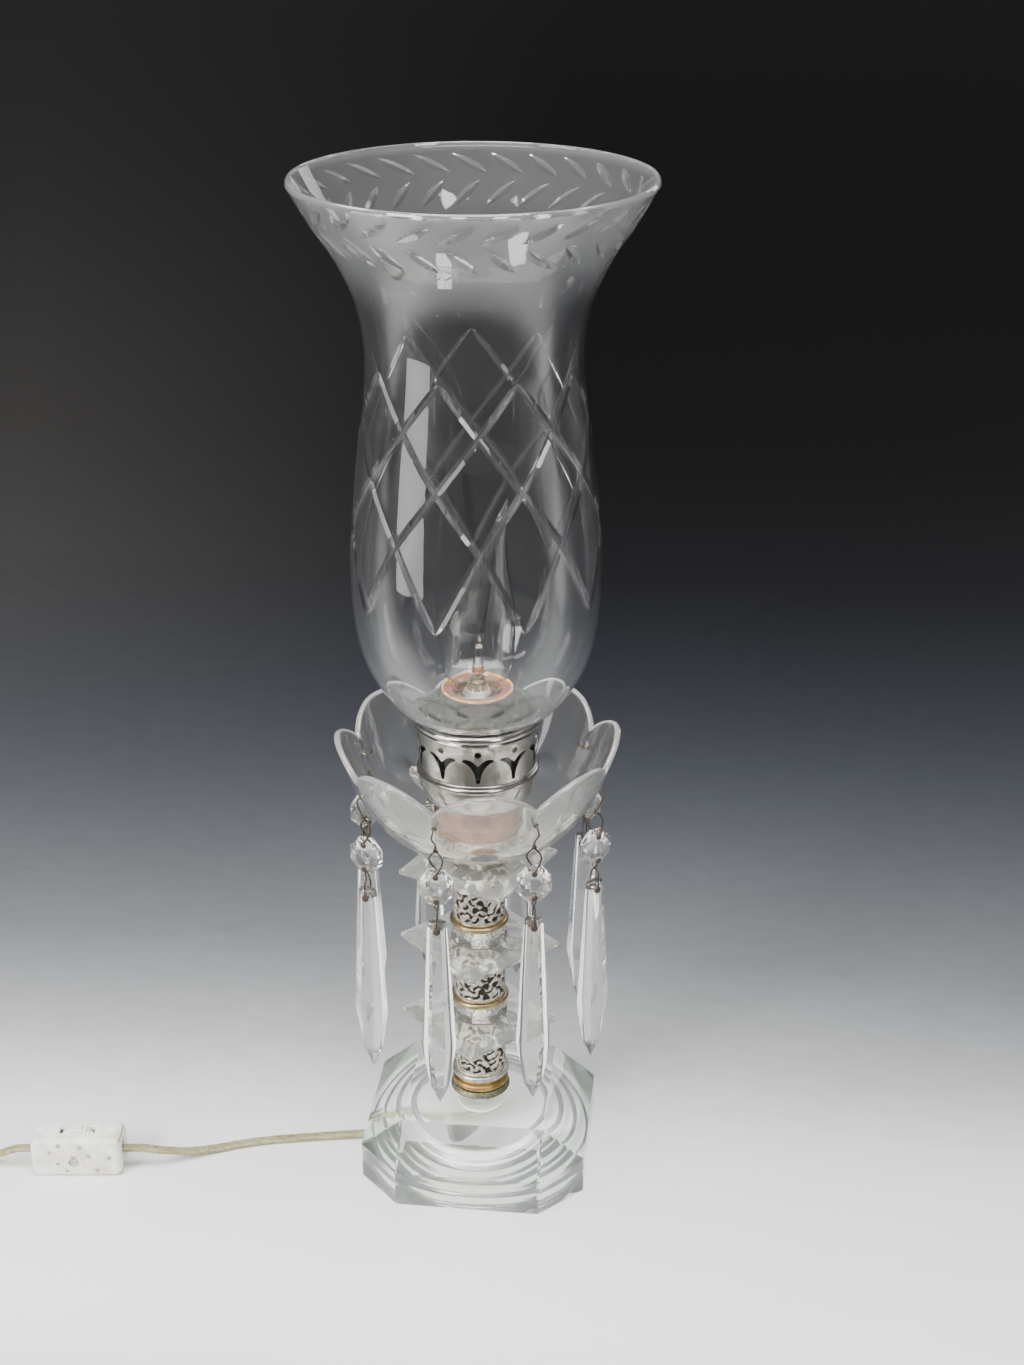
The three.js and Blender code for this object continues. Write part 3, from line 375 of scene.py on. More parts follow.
def worn_metal(name, colour, dark, roughness, tarnish=0.35, scale=220, metallic=1.0):
    """Metal whose patina gathers in patches, with fine scratches and pits."""
    metal = Finish(name, colour, roughness, Metallic=metallic)
    patches = metal.noise(scale, detail=6, roughness=0.65)
    specks = metal.noise(scale * 6, detail=3, roughness=0.7)
    both = metal.math("ADD", metal.math("MULTIPLY", patches, 0.75), metal.math("MULTIPLY", specks, 0.25))
    stained = metal.ramp(both, [(0.5 - tarnish * 0.5, dark), (0.62, colour)])
    metal.drive("Base Color", stained)
    metal.drive("Roughness", metal.range(both, 0.35, 0.7, roughness + 0.22, roughness))
    metal.bump(specks, 0.00008, 0.5)
    return metal


# Camera, floor and light, all in metres

VIEW_AZIMUTH = math.radians(7.49)
VIEW_PITCH = math.radians(25.30)
VIEW_RIGHT = math.radians(1.10)
CAMERA_AWAY = 0.9505
CAMERA_HEIGHT = 0.7462
SENSOR_WIDTH = 36.0
FOCAL_LENGTH = 52.75


def facing(direction):
    """Rotation that points a camera or a light along a direction."""
    return Vector(direction).to_track_quat("-Z", "Y").to_euler()


def make_camera():
    """The photograph's own view, fitted to the base, the shade's rim and the column."""
    data = bpy.data.cameras.new("photograph_camera")
    data.sensor_width = SENSOR_WIDTH
    data.lens = FOCAL_LENGTH
    data.clip_start = 0.01
    data.clip_end = 60
    camera = linked("photograph_camera", data)
    camera.location = (CAMERA_AWAY * math.sin(VIEW_AZIMUTH), -CAMERA_AWAY * math.cos(VIEW_AZIMUTH), CAMERA_HEIGHT)
    heading, level = VIEW_AZIMUTH - VIEW_RIGHT, math.cos(VIEW_PITCH)
    camera.rotation_euler = facing((-math.sin(heading) * level, math.cos(heading) * level, -math.sin(VIEW_PITCH)))
    bpy.context.scene.camera = camera


FLOOR_HALF = 9.0
FLOOR_SUNK = 0.0001
FLOOR_REACH = 1.5
# Painted shade: the paper's colour darkens with reach behind the lamp, standing in for the unlit room
FLOOR_PAINTED_SHADE = [
    (0.0, (0.93, 0.93, 0.92)),
    (0.1, (0.76, 0.76, 0.76)),
    (0.16, (0.32, 0.325, 0.33)),
    (0.24, (0.125, 0.13, 0.138)),
    (0.38, (0.045, 0.048, 0.058)),
    (0.52, (0.022, 0.0235, 0.029)),
    (0.68, (0.010, 0.0098, 0.011)),
    (1.0, (0.0062, 0.0055, 0.0055)),
]
# Painted shade: the colour of the paper in front, out of the picture
PAINTED_FRONT_SHADE = (0.02, 0.02, 0.02)
FRONT_SHARES = [(0.0, 0.0), (0.15, 0.05), (0.55, 0.93), (1.0, 0.95)]
# Painted light: colour added to the paper on the left, growing towards the back
PAINTED_LEFT_LIGHT = (0.034, 0.033, 0.031)


def make_floor():
    """One flat sheet of paper, its colour painted with light and shade: pale round the lamp, painted shade towards the
    back, a painted pool of light on the left, and painted shade again in front.

    The painted dark front, out of the picture, keeps the lit paper from veiling the glass shade as a reflection."""
    half, sunk = FLOOR_HALF, -FLOOR_SUNK
    mesh = bpy.data.meshes.new("floor")
    corners = [(-half, -half, sunk), (half, -half, sunk), (half, half, sunk), (-half, half, sunk)]
    mesh.from_pydata(corners, [], [(0, 1, 2, 3)])
    floor = linked("floor", mesh)
    paper = Finish("paper_painted_light_and_shade", (0.8, 0.8, 0.8), 0.5, Specular_IOR_Level=0.04)
    x, y, _ = paper.node("ShaderNodeSeparateXYZ", {0: paper.place}).outputs
    # Painted shade behind the lamp, a painted pool of light on the left, and painted shade in front
    behind = paper.math("MAXIMUM", paper.math("ADD", y, 0.15), 0.0)
    beside = paper.math("MULTIPLY", paper.math("MINIMUM", paper.math("ABSOLUTE", x), behind), 0.3)
    reach = paper.math("SQRT", paper.math("ADD", paper.math("POWER", behind, 2.0), paper.math("POWER", beside, 2.0)))
    shade = paper.ramp(paper.range(reach, 0, FLOOR_REACH, 0, 1), FLOOR_PAINTED_SHADE, "B_SPLINE")
    # Painted light: a pool of light painted onto the paper to the left
    sideways = paper.math("DIVIDE", x, paper.math("MAXIMUM", paper.math("ADD", y, 0.95), 0.4))
    left = paper.range(sideways, -0.06, -0.32, 0, 1)
    shade = paper.mix(paper.math("MULTIPLY", left, paper.range(y, 0.1, 0.9, 0, 1)), shade, PAINTED_LEFT_LIGHT, "ADD")
    # Painted shade: the paper in front is painted dark so that it shows no lit reflection on the glass shade
    front = [(position, (share,) * 3) for position, share in FRONT_SHARES]
    ahead = paper.ramp(paper.range(y, -0.15, -0.55, 0, 1), front, "B_SPLINE")
    shade = paper.mix(ahead, shade, PAINTED_FRONT_SHADE)
    grain = paper.noise(38, detail=7, roughness=0.7, stretch=(1, 2.2, 1))
    grain = paper.ramp(grain, [(0.3, (0, 0, 0)), (0.7, (1, 1, 1))])
    paper.drive("Base Color", paper.mix(0.07, shade, grain, "OVERLAY"))
    paper.on(floor)


def make_light(name, place, aim, size, power, colour, through_glass=True):
    """Rectangular soft light that looks from place towards aim."""
    data = bpy.data.lights.new(name, "AREA")
    data.shape = "RECTANGLE"
    data.size, data.size_y = size
    data.energy = power
    data.color = colour
    light = linked(name, data)
    light.location = place
    light.rotation_euler = facing(Vector(aim) - Vector(place))
    light.visible_camera = False
    light.visible_transmission = through_glass


def make_world():
    """Room light: soft grey all round and overhead, dark behind the lamp where the backdrop hangs."""
    world = bpy.data.worlds.new("room")
    world.use_nodes = True
    room = Nodes(world.node_tree)
    _, y, z = room.node("ShaderNodeSeparateXYZ", {0: room.node("ShaderNodeTexCoord").outputs["Generated"]}).outputs
    behind = room.range(y, -0.3, 0.75, 0.0, -0.2)
    level = room.math("ADD", room.math("ADD", room.math("MULTIPLY", z, 0.6), behind), 0.4)
    grey = room.ramp(level, [
        (0.0, (0.012, 0.012, 0.013)), (0.15, (0.06, 0.06, 0.065)),
        (0.5, (0.23, 0.235, 0.245)), (1.0, (0.36, 0.365, 0.375))])
    room.feed(room.nodes["Background"], "Color", grey)
    room.feed(room.nodes["Background"], "Strength", 1.0)
    bpy.context.scene.world = world


make_camera()
make_floor()
make_world()
make_light("left_panel", (-0.59, -0.46, 0.42), (0, 0, 0.42), (0.36, 0.6), 5, (1.0, 0.99, 0.97), through_glass=False)
make_light("window_right", (0.82, -1.02, 0.95), (0, 0, 0.5), (0.36, 0.5), 9, (0.97, 0.98, 1.0))
make_light("window_left", (-1.5, -1.9, 1.9), (0, 0, 0.3), (0.8, 0.8), 71, (1.0, 0.99, 0.98))
make_light("overhead", (0.0, -0.4, 2.4), (0, -0.05, 0.0), (1.6, 1.2), 82, (1.0, 1.0, 1.0))
make_light("back_rim", (0.9, 1.6, 1.1), (0, 0, 0.4), (0.4, 1.2), 5, (0.95, 0.97, 1.0), through_glass=False)


# The flat twin cord, its switch and its plug

CORD_THICKNESS = 3.0
PIPE_MOUTH = foot_of["lamp_pipe"]
SWITCH_HEIGHT = top_of["switch_front"]
FLOOR_CENTRE = CORD_THICKNESS / 2 + 0.2

# Route from inside the pipe to the switch, then from the switch to the coil, given point by point
LEAD = [
    (0, 0, PIPE_MOUTH + 5), (-0.1, 0, PIPE_MOUTH + 1), (-2.2, -0.2, PIPE_MOUTH - 4.6), (-7.4, -0.6, 4.2),
    (-15, -1.3, 2.9), (-32, -2.8, 2.8), (-48, -4.2, 2.8), (-63.5, -5.6, 2.8), (-78, -7.6, 2.2),
    (-93, -10.4, FLOOR_CENTRE), (-108, -13.7, FLOOR_CENTRE), (-123.5, -17.5, FLOOR_CENTRE),
    (-138, -22.5, FLOOR_CENTRE), (-153, -29.5, 2.4), (-167, -37.5, 5.6), (-180, -43.2, 9.8),
    (-190.5, -45.8, SWITCH_HEIGHT / 2 - 0.2), (-199.7, -46.9, SWITCH_HEIGHT / 2),
]
TAIL = [
    (-253.3, -53.0, SWITCH_HEIGHT / 2), (-262, -54, SWITCH_HEIGHT / 2 - 0.4), (-272, -55, 8.6), (-284, -56, 4.6),
    (-297, -57, 2.3), (-312, -57.8, FLOOR_CENTRE), (-328, -58, FLOOR_CENTRE),
]
THROUGH = [LEAD[-1], (-204.5, -47.5, 10.8), (-213, -48.5, 4.6), (-226.5, -50.0, 4.1), (-240, -51.5, 4.6),
           (-248.5, -52.5, 10.8), TAIL[0]]
COIL_START = (-345, -58, FLOOR_CENTRE)
COIL_TURNS = 6.25
COIL_OUTER = 47.0
COIL_PITCH = 6.7
COIL_LAYER = 3.75
COIL_LEAD_OUT = 37.0
CORE_SPREAD = 0.97
VALLEY_HEIGHT = 0.72


def coil_points(per_turn=48):
    """Spiral in on the floor, half a turn of climb where it reverses, spiral out on top, then to the plug."""
    turn = np.linspace(0, COIL_TURNS, int(COIL_TURNS * per_turn) + 1)
    half = COIL_TURNS / 2
    radius = COIL_OUTER - COIL_PITCH * (half - np.abs(half - turn))
    rise = eased(np.clip((turn - half + 0.25) / 0.5, 0, 1))
    angle = -math.pi / 2 - turn * 2 * math.pi
    x = COIL_START[0] + radius * np.cos(angle)
    y = COIL_START[1] + COIL_OUTER + radius * np.sin(angle)
    z = COIL_START[2] + rise * COIL_LAYER
    wound = np.stack([x, y, z], -1)
    out = np.linspace(0, COIL_LEAD_OUT, 13)[1:, None] * np.array([[0, 1, 0]]) + wound[-1]
    return np.vstack([wound, out])


def twin_flex(name, path):
    """Two round cores side by side with a shallow valley between them, kept level along the path."""
    heading = unit(np.gradient(path[:, :2], axis=0))
    tangent = unit(np.gradient(path, axis=0))
    side = np.stack([-heading[:, 1], heading[:, 0], np.zeros(len(path))], -1)
    up = np.cross(tangent, side)
    turn = full_turn(24)
    core = CORD_THICKNESS / 2 - 0.05
    across = core * (np.cos(turn) + CORE_SPREAD * np.sign(np.cos(turn)))
    across[np.abs(np.cos(turn)) < 1e-6] = 0
    height = core * np.sin(turn) * np.where(np.abs(np.cos(turn)) < 0.2, VALLEY_HEIGHT, 1.0)
    rings = path[:, None] + across[None, :, None] * side[:, None] + height[None, :, None] * up[:, None]
    return loft(name, rings, smooth_angle=80)


def cord_path():
    """The cord's middle line from inside the pipe, through the switch and the coil, to the plug."""
    tail = smooth_line(TAIL + [COIL_START, (-352, -57.6, FLOOR_CENTRE)], 70)
    tail = tail[tail[:, 0] > COIL_START[0] + 1.5]
    return np.vstack([smooth_line(LEAD, 150), smooth_line(THROUGH, 40)[1:-1], tail, coil_points()])


vinyl = Finish("aged_clear_vinyl", (0.56, 0.52, 0.33), 0.3, Transmission_Weight=0.35, IOR=1.5,
               Subsurface_Weight=0.15, Subsurface_Scale=0.002)
strands = vinyl.noise(900, detail=3, stretch=(0.25, 1, 1))
grime = vinyl.noise(90, detail=5)
yellowed = vinyl.ramp(strands, [(0.32, (0.20, 0.175, 0.075)), (0.5, (0.43, 0.405, 0.22)), (0.72, (0.60, 0.585, 0.40))])
vinyl.drive("Base Color", vinyl.mix(vinyl.range(grime, 0.45, 0.75, 0, 0.5), yellowed, (0.31, 0.265, 0.14)))
vinyl.bump(strands, 0.0003, 0.3)

flex_path = cord_path()
flex = twin_flex("twin_flex", flex_path)
put(flex, vinyl, "cord_vinyl", "cord_lead", "cord_tail", "cord_coil")


# Rings of points for glass blocks

def polygon_ring(corners, height, per_side):
    """Closed ring of points along a polygon's sides at one height; per_side counts the points of each side."""
    corners = np.asarray(corners, float)
    ring = []
    for start, end, count in zip(corners, np.roll(corners, -1, axis=0), per_side):
        share = np.arange(count)[:, None] / count
        ring.append(start + (end - start) * share)
    flat = np.vstack(ring)
    return np.column_stack([flat, np.full(len(flat), float(height))])


def circle_like(ring, radius, height):
    """Circle whose points lie in the same directions as the ring's points."""
    return np.column_stack([unit(ring[:, :2]) * radius, np.full(len(ring), float(height))])


def cut_octagon(half, flat, edge):
    """Octagon of a square with cut corners; each of its corners is taken off by a narrow polished edge."""
    points = np.vstack([spun([(-flat, -half), (flat, -half)], quarter * math.pi / 2) for quarter in range(4)])
    result = []
    for before, at, after in zip(np.roll(points, 1, axis=0), points, np.roll(points, -1, axis=0)):
        for other in (before, after):
            way = other - at
            length = max(np.linalg.norm(way), 1e-6)
            result.append(at + way / length * min(edge, length * 0.45))
    return result


# Cut-glass base

BASE_HALF = 63.5
BASE_FLAT = 40.0
BASE_TABLE = 40.5
BASE_WALL = 22.0
BASE_TOP = top_of["glass_base"]
BASE_EDGE = 0.7
RECESS_TALL = 18.0
BORE = 5.5
GROOVE_AZIMUTH = -85.0
GROOVE_REACH = (44, 70)
GROOVE_OUTLINE = [(-4.2, -1), (4.2, -1), (4.2, 4.6), (2.8, 6), (-2.8, 6), (-4.2, 4.6)]


def make_base():
    """Octagonal block with sloping facets up to a square table, hollowed by a stepped round recess.

    A groove through its foot lets the cord out."""
    per_side = [26 if i % 2 else 2 for i in range(16)]
    wall = np.array(cut_octagon(BASE_HALF, BASE_FLAT, BASE_EDGE))
    table = np.array(cut_octagon(BASE_TABLE, BASE_TABLE - 0.9, BASE_EDGE * 0.6))
    low = polygon_ring(wall, 0.5, per_side)
    rings = [
        circle_like(low, BORE, BASE_TOP),
        polygon_ring(table * 0.985, BASE_TOP, per_side),
        polygon_ring(table * 1.004, BASE_TOP - 0.45, per_side),
        polygon_ring(wall + (table - wall) * 0.03, BASE_WALL + 0.35, per_side),
        polygon_ring(wall, BASE_WALL - 0.3, per_side),
        low,
        polygon_ring(wall * 0.993, 0, per_side),
    ]
    steps = [(54.0, 0.0)] + arc((51.4, 1.6), 2.6, 0, 90, 9) + arc((48.6, 5.7), 1.5, 270, 180, 6)
    steps += arc((44.3, 7.2), 2.8, 0, 90, 9) + arc((41.2, 11.6), 1.6, 270, 180, 6)
    steps += arc((36.0, 14.0), 4.0, 0, 90, 9) + [(BORE, RECESS_TALL)]
    rings += [circle_like(low, radius, height) for radius, height in steps]
    base = loft("cut_glass_base", rings, wrap=True, smooth_angle=14)
    ends = [np.column_stack([np.full(len(GROOVE_OUTLINE), reach), GROOVE_OUTLINE]) for reach in GROOVE_REACH]
    groove = loft("groove", framed(ends, np.zeros(3), *way_out(GROOVE_AZIMUTH)))
    return cut_out(base, [groove], smooth_angle=14)


# Column

def make_ring(name):
    """Half-round bead with a smaller one on top."""
    foot, top, radius = extent(name)
    big, small = 1.75, 0.7
    profile = [(BORE, foot), (radius - big, foot)]
    profile += arc((radius - big, foot + big), big, -90, 90, 13)
    profile += [(radius - big - 0.1, foot + 2 * big + 0.05)]
    profile += arc((radius - big - 0.2, top - small), small, -80, 90, 9)
    profile += [(BORE, top)]
    return turned(name + "_bead", profile, 128)


def make_foot_cap():
    """Bulging brass cap with a thin lip under the silver ring."""
    foot, top, _ = extent("foot_cap")
    profile = [(BORE, foot), (14.9, foot)]
    profile += arc((13.7, foot + 2.2), 2.25, -78, 62, 14)
    profile += [(14.1, foot + 4.5)] + arc((13.6, foot + 5.2), 0.75, -60, 70, 7)
    profile += [(13.5, top), (BORE, top)]
    return turned("brass_foot_cap", profile, 128)


def make_foot_flange():
    foot, top, radius = extent("foot_flange")
    profile = [(BORE, foot), (radius - 0.8, foot)]
    profile += arc((radius - 0.9, foot + 0.9), 0.9, -90, 35, 8)
    profile += arc((radius - 1.9, top - 0.9), 0.9, 20, 90, 7) + [(BORE, top)]
    return turned("tarnished_foot_flange", profile, 128)


def make_dish_seat():
    foot, top, radius = extent("dish_seat")
    profile = [(BORE, foot), (13.2, foot)] + arc((14.0, foot + 0.9), 0.9, -90, 20, 6)
    profile += smooth_line([(15.2, foot + 1.6), (17.6, foot + 2.2), (20.0, top - 2.3)], 8).tolist()
    profile += arc((radius - 0.9, top - 0.95), 0.9, -70, 90, 10) + [(BORE, top)]
    return turned("brass_dish_seat", profile, 128)


SLEEVE_ROWS = 8
SLEEVE_COLUMNS = 15


def void_lattice(rows, columns, seed):
    """Leaf and bone shaped openings on a staggered lattice: places, angles, lengths, widths, bend, pinch."""
    chance = np.random.default_rng(seed)
    row, column = np.meshgrid(np.arange(rows), np.arange(columns), indexing="ij")
    u = (column + 0.5 * (row % 2) + chance.uniform(-0.10, 0.10, row.shape)) / columns
    v = (row + 0.5 + chance.uniform(-0.10, 0.10, row.shape)) / rows
    lean = np.where((row + column) % 2 == 0, 0.5, -0.65) + chance.uniform(-0.3, 0.3, row.shape)
    length = chance.uniform(2.35, 2.85, row.shape)
    width = chance.uniform(1.35, 1.65, row.shape)
    bend = chance.choice([-0.16, -0.08, 0.10, 0.18], row.shape)
    pinch = chance.choice([-0.7, 0.35, 0.55, 0.9], row.shape)
    return np.stack([u, v, lean, length, width, bend, pinch], -1).reshape(-1, 7)


def pierced_depth(u, v, girth, tall, voids):
    """Signed distance, in millimetres, to the nearest opening: each is |y - bend x^2| - width(x)."""
    nearest = np.full(u.shape, 9.0)
    for centre_u, centre_v, lean, length, width, bend, pinch in voids:
        x = ((u - centre_u + 0.5) % 1.0 - 0.5) * girth
        y = (v - centre_v) * tall
        along = x * math.cos(lean) + y * math.sin(lean)
        across = -x * math.sin(lean) + y * math.cos(lean) - bend * along ** 2
        share = np.clip(along / length, -1, 1)
        if pinch > 0:
            half = width * (0.55 + pinch * (share ** 2) * 0.75) * np.sqrt(np.clip(1.0 - share ** 6, 0, 1))
        else:
            half = width * 1.25 * np.sqrt(np.clip(1.0 - share ** 2, 0, 1)) * (1.0 + 0.75 * share * pinch)
        distance = np.maximum(np.abs(across) - half, np.abs(along) - length)
        nearest = np.minimum(nearest, distance)
    return nearest


def make_sleeve(name, seed):
    """Cylinder whose openings sink to a ground, painted near black as shade by its finish, with a plain narrow rim at
    both ends.
    """
    foot, top, radius = extent(name)
    around, up = 420, 132
    u, v = np.meshgrid(np.arange(around) / around, np.linspace(0, 1, up), indexing="xy")
    tall = top - foot
    voids = void_lattice(SLEEVE_ROWS, SLEEVE_COLUMNS, seed)
    distance = pierced_depth(u, v, 2 * math.pi * radius, tall, voids)
    distance = np.maximum(distance, 0.5 - np.minimum(v, 1 - v) * tall)
    sunk = eased(np.clip(0.5 - distance / 0.34, 0, 1))
    crown = 0.16 * np.clip(distance / 0.5, 0, 1) ** 0.5
    r = radius - 0.16 - 0.95 * sunk + crown * (1 - sunk)
    angle = u * 2 * math.pi
    outside = np.stack([r * np.sin(angle), -r * np.cos(angle), foot + v * tall], -1)
    inner = turned_points([(radius - 1.3, top), (radius - 1.3, foot)], around)
    sleeve = loft(name + "_pierced", np.concatenate([outside, inner]), wrap=True, smooth_angle=80)

    def in_shaded_ground(points):
        return np.clip((radius - np.hypot(points[:, 0], points[:, 1]) - 0.35) / 0.35, 0, 1)

    # The sunk ground is marked for painted shade
    return marked(sleeve, "ground", in_shaded_ground)


# Glass breaks: a square plate with a faceted hub

PLATE_HALF = 31.8
PLATE_BEVEL = 6.0
PLATE_EDGE = 2.4
PLATE_THICK = 5.0
PLATE_TURNS = {"glass_break_3": 0, "glass_break_2": 0, "glass_break_1": 21}
PLATE_POLISH = 0.35
HUB_SIDES = 12
HUB_FOOT = 15.4
HUB_RINGS = [(14.7, 4.0), (15.2, 5.4), (14.9, 6.6)]
SWEEP_RISE = 3.4
FLUTE_DEPTH = 0.45


def make_break(name):
    foot, top = foot_of[name], top_of[name]
    per_side = [26 if i % 4 == 1 else 2 for i in range(16)]
    edge = PLATE_POLISH

    def square(half, height):
        return polygon_ring(cut_octagon(half, half - 0.6, 0.2), height, per_side)

    reference = square(PLATE_HALF, foot)
    angle = np.arctan2(reference[:, 1], reference[:, 0])

    def hub(radius, height):
        half_side = math.pi / HUB_SIDES
        facet = np.mod(angle, 2 * half_side) - half_side
        reach = radius * math.cos(half_side) / np.cos(facet)
        return np.column_stack([reach * np.cos(angle), reach * np.sin(angle), np.full(len(angle), height)])

    plate_top = foot + PLATE_THICK

    def swept(share):
        """Fluted sweep between the bevel and the hub: square outside, twelve hollow flutes inside."""
        wide = square(PLATE_HALF - PLATE_BEVEL - 0.4, plate_top)
        near = hub(HUB_FOOT, plate_top)
        flute = FLUTE_DEPTH * np.cos(angle * HUB_SIDES) * math.sin(math.pi * share)
        line = near + (wide - near) * share
        line[:, 2] = plate_top + SWEEP_RISE * (1 - share) ** 1.15 + flute
        return line

    rings = [
        circle_like(reference, BORE, foot),
        square(PLATE_HALF - edge, foot),
        square(PLATE_HALF, foot + edge),
        square(PLATE_HALF, foot + PLATE_EDGE - edge),
        square(PLATE_HALF - edge * 1.6, foot + PLATE_EDGE + edge * 0.7),
        square(PLATE_HALF - PLATE_BEVEL + 0.3, plate_top - 0.25),
        *(swept(1 - i / 8) for i in range(9)),
        *(hub(radius, plate_top + rise) for radius, rise in HUB_RINGS),
        hub(13.9, top - 1.0),
        hub(13.2, top),
        circle_like(reference, BORE, top),
    ]
    turn = math.radians(45 + PLATE_TURNS[name])
    return loft(name + "_cut", spun(rings, turn), wrap=True, smooth_angle=9)


# Scalloped dish

NOTCH_AZIMUTH = -12.0
PETALS = 8
PETAL_POWER = 0.75
PETAL_FLARE = 1.2
LENS_RADIUS = 8.2
LENS_DEPTH = 1.1
LENS_HEIGHT = 19.0
DISH_FOOT = foot_of["dish"]
DISH_WALL = 4.0
NOTCH_HEIGHT = 46.0
PETAL_RISE = 15.0
DISH_LINE = smooth_line([(26, 0), (40, 3.2), (52, 12), (61.5, 25), (67, 36), (70.5, 46), (75, 61)], 400)


def make_dish():
    """Bowl swept from one wall line; at each azimuth it runs up to that petal's height, |sin|^0.75.

    Each petal has a round lens cut into its outside, a paraboloid dip of the wall."""
    around, steps = PETALS * 56, 44
    phase = np.arange(around) / around * PETALS
    petal = np.abs(np.sin(math.pi * phase)) ** PETAL_POWER
    share = np.linspace(0, 1, steps)[:, None]
    height = (NOTCH_HEIGHT + PETAL_RISE * petal)[None, :] * share

    def wall_radius(level):
        return np.interp(level, DISH_LINE[:, 1], DISH_LINE[:, 0])

    radius = wall_radius(height) + PETAL_FLARE * petal * share ** 2
    widening = wall_radius(height + 0.5) - wall_radius(np.clip(height - 0.5, 0, None))
    slope = unit(np.stack([widening, np.where(height < 0.5, 0.5, 1.0)], -1))
    thin = DISH_WALL * (1 - 0.25 * share)
    from_middle = (np.mod(phase, 1) - 0.5) / PETALS * 2 * math.pi * radius
    climb = (height - LENS_HEIGHT) / 0.72
    dip = np.clip(1 - (from_middle ** 2 + climb ** 2) / LENS_RADIUS ** 2, 0, 1) * LENS_DEPTH
    outer = np.stack([radius - dip * slope[..., 1], height + dip * slope[..., 0]], -1)
    inner = np.stack([radius - thin * slope[..., 1], np.maximum(height + thin * slope[..., 0], DISH_WALL)], -1)
    inner[0] = (DISH_LINE[0, 0], DISH_WALL)
    middle, reach = (outer[-1] + inner[-1]) / 2, (outer[-1] - inner[-1]) / 2
    lift = np.stack([-reach[:, 1], reach[:, 0]], -1) * 0.55
    crown = [middle + reach * math.cos(a) * 0.999 + lift * math.sin(a)
             for a in np.radians((12, 40, 65, 90, 115, 140, 168))]
    bore = np.full((1, around, 2), (BORE, 0.0))
    floor = np.full((1, around, 2), (BORE, DISH_WALL))
    wall = np.concatenate([bore, outer, np.array(crown), inner[::-1], floor])
    azimuth = np.radians(NOTCH_AZIMUTH) + np.arange(around) / around * 2 * math.pi
    rings = np.stack([wall[..., 0] * np.sin(azimuth), -wall[..., 0] * np.cos(azimuth), wall[..., 1] + DISH_FOOT], -1)
    dish = loft("scalloped_dish", rings, wrap=True, smooth_angle=30)
    through = np.array([(-9, 0, 0), (0, 0, 0), (9, 0, 0)])
    drills = [wire(f"drill_{k}", hung(through, k), 1.5, 20) for k in range(PETALS)]
    dish = cut_out(dish, drills, smooth_angle=30)

    # Frosted rim: the dish's ground edge, and in part a painted highlight
    def at_rim(points):
        azimuth = np.arctan2(points[:, 0], -points[:, 1]) - math.radians(NOTCH_AZIMUTH)
        rim = NOTCH_HEIGHT + PETAL_RISE * np.abs(np.sin(azimuth * PETALS / 2)) ** PETAL_POWER
        return np.clip((points[:, 2] - DISH_FOOT - rim + 0.35) / 0.4, 0, 1)

    return marked(dish, "frost_and_painted_light", at_rim)


# Chains hang from holes below the notches

HOLE_HEIGHT = DISH_FOOT + NOTCH_HEIGHT - 7.5
CHAIN_RADIUS = float(np.interp(NOTCH_HEIGHT - 7.5, DISH_LINE[:, 1], DISH_LINE[:, 0])) - DISH_WALL / 2
FACE_TURNS = [15, -20, -40, 40, 10, -15, -40, 40]
BEAD_DROP = 35.0
BEAD_WIDTH = 20.0
BEAD_TALL = 22.6
BEAD_THICK = 8.0
BEAD_HOLE = 7.2
PRISM_DROP = 56.0
PRISM_LENGTH = 115.0
PRISM_WIDTH = 18.6
PRISM_TOP_WIDTH = 10.0
PRISM_DEPTH = 9.6
PRISM_TOP_DEPTH = 5.4
PRISM_SHOULDER = 0.67
PRISM_PIN = PRISM_DROP + 4.6
BEAD_PIN_DEPTH = 3.6
PRISM_PIN_DEPTH = 3.5
PRISM_PIN_SCALE = 1.25
PIN_HEAD = [(0.0, 0.58), (0.45, 0.55), (1.0, 0.42), (1.5, 0.1), (1.6, -0.35), (1.25, -0.7), (0.6, -0.75), (0.0, -0.75)]


def hung(points, k, turn=0.0):
    """Carries points from a chain's own frame (X outwards, origin in the dish hole) to the lamp's."""
    way, across = way_out(NOTCH_AZIMUTH + 360 / PETALS * k)
    return framed(spun(points, math.radians(turn)), way * CHAIN_RADIUS + (0, 0, HOLE_HEIGHT), way, across)


def convex(name, corners):
    """Faceted solid: the convex hull of its corners."""
    mesh = bpy.data.meshes.new(name)
    hull = bmesh.new()
    for corner in np.asarray(corners, float) * MM:
        hull.verts.new(corner)
    result = bmesh.ops.convex_hull(hull, input=hull.verts)
    loose = [v for v in result["geom_interior"] if isinstance(v, bmesh.types.BMVert)]
    bmesh.ops.delete(hull, geom=loose, context="VERTS")
    bmesh.ops.dissolve_limit(hull, angle_limit=math.radians(0.5), verts=hull.verts, edges=hull.edges)
    bmesh.ops.recalc_face_normals(hull, faces=hull.faces)
    hull.to_mesh(mesh)
    hull.free()
    return linked(name, mesh)


def drill(k, drop):
    """Round cutter straight through a crystal's two faces."""
    return wire("drill", hung([(-8, 0, -drop), (0, 0, -drop), (8, 0, -drop)], k, FACE_TURNS[k]), 0.95, 14)


def make_bead(k):
    """Octagonal crystal: a table on each side, eight kite facets down to a thin girdle."""
    corners = []
    for side in (-1, 1):
        for i in range(8):
            edge = (i + 0.5) / 8 * 2 * math.pi
            mid = i / 8 * 2 * math.pi
            corners.append((side * 0.7, math.cos(edge) * BEAD_WIDTH / 2, math.sin(edge) * BEAD_TALL / 2))
            corners.append((side * 2.75, math.cos(mid) * 7.05, math.sin(mid) * 8.2))
            corners.append((side * BEAD_THICK / 2, math.cos(edge) * 4.3, math.sin(edge) * 5.0))
    crystal = convex(f"crystal_octagon_{k + 1}", hung(np.array(corners) - (0, 0, BEAD_DROP), k, FACE_TURNS[k]))
    return cut_out(crystal, [drill(k, BEAD_DROP + rise) for rise in (-BEAD_HOLE, BEAD_HOLE)], smooth_angle=8)


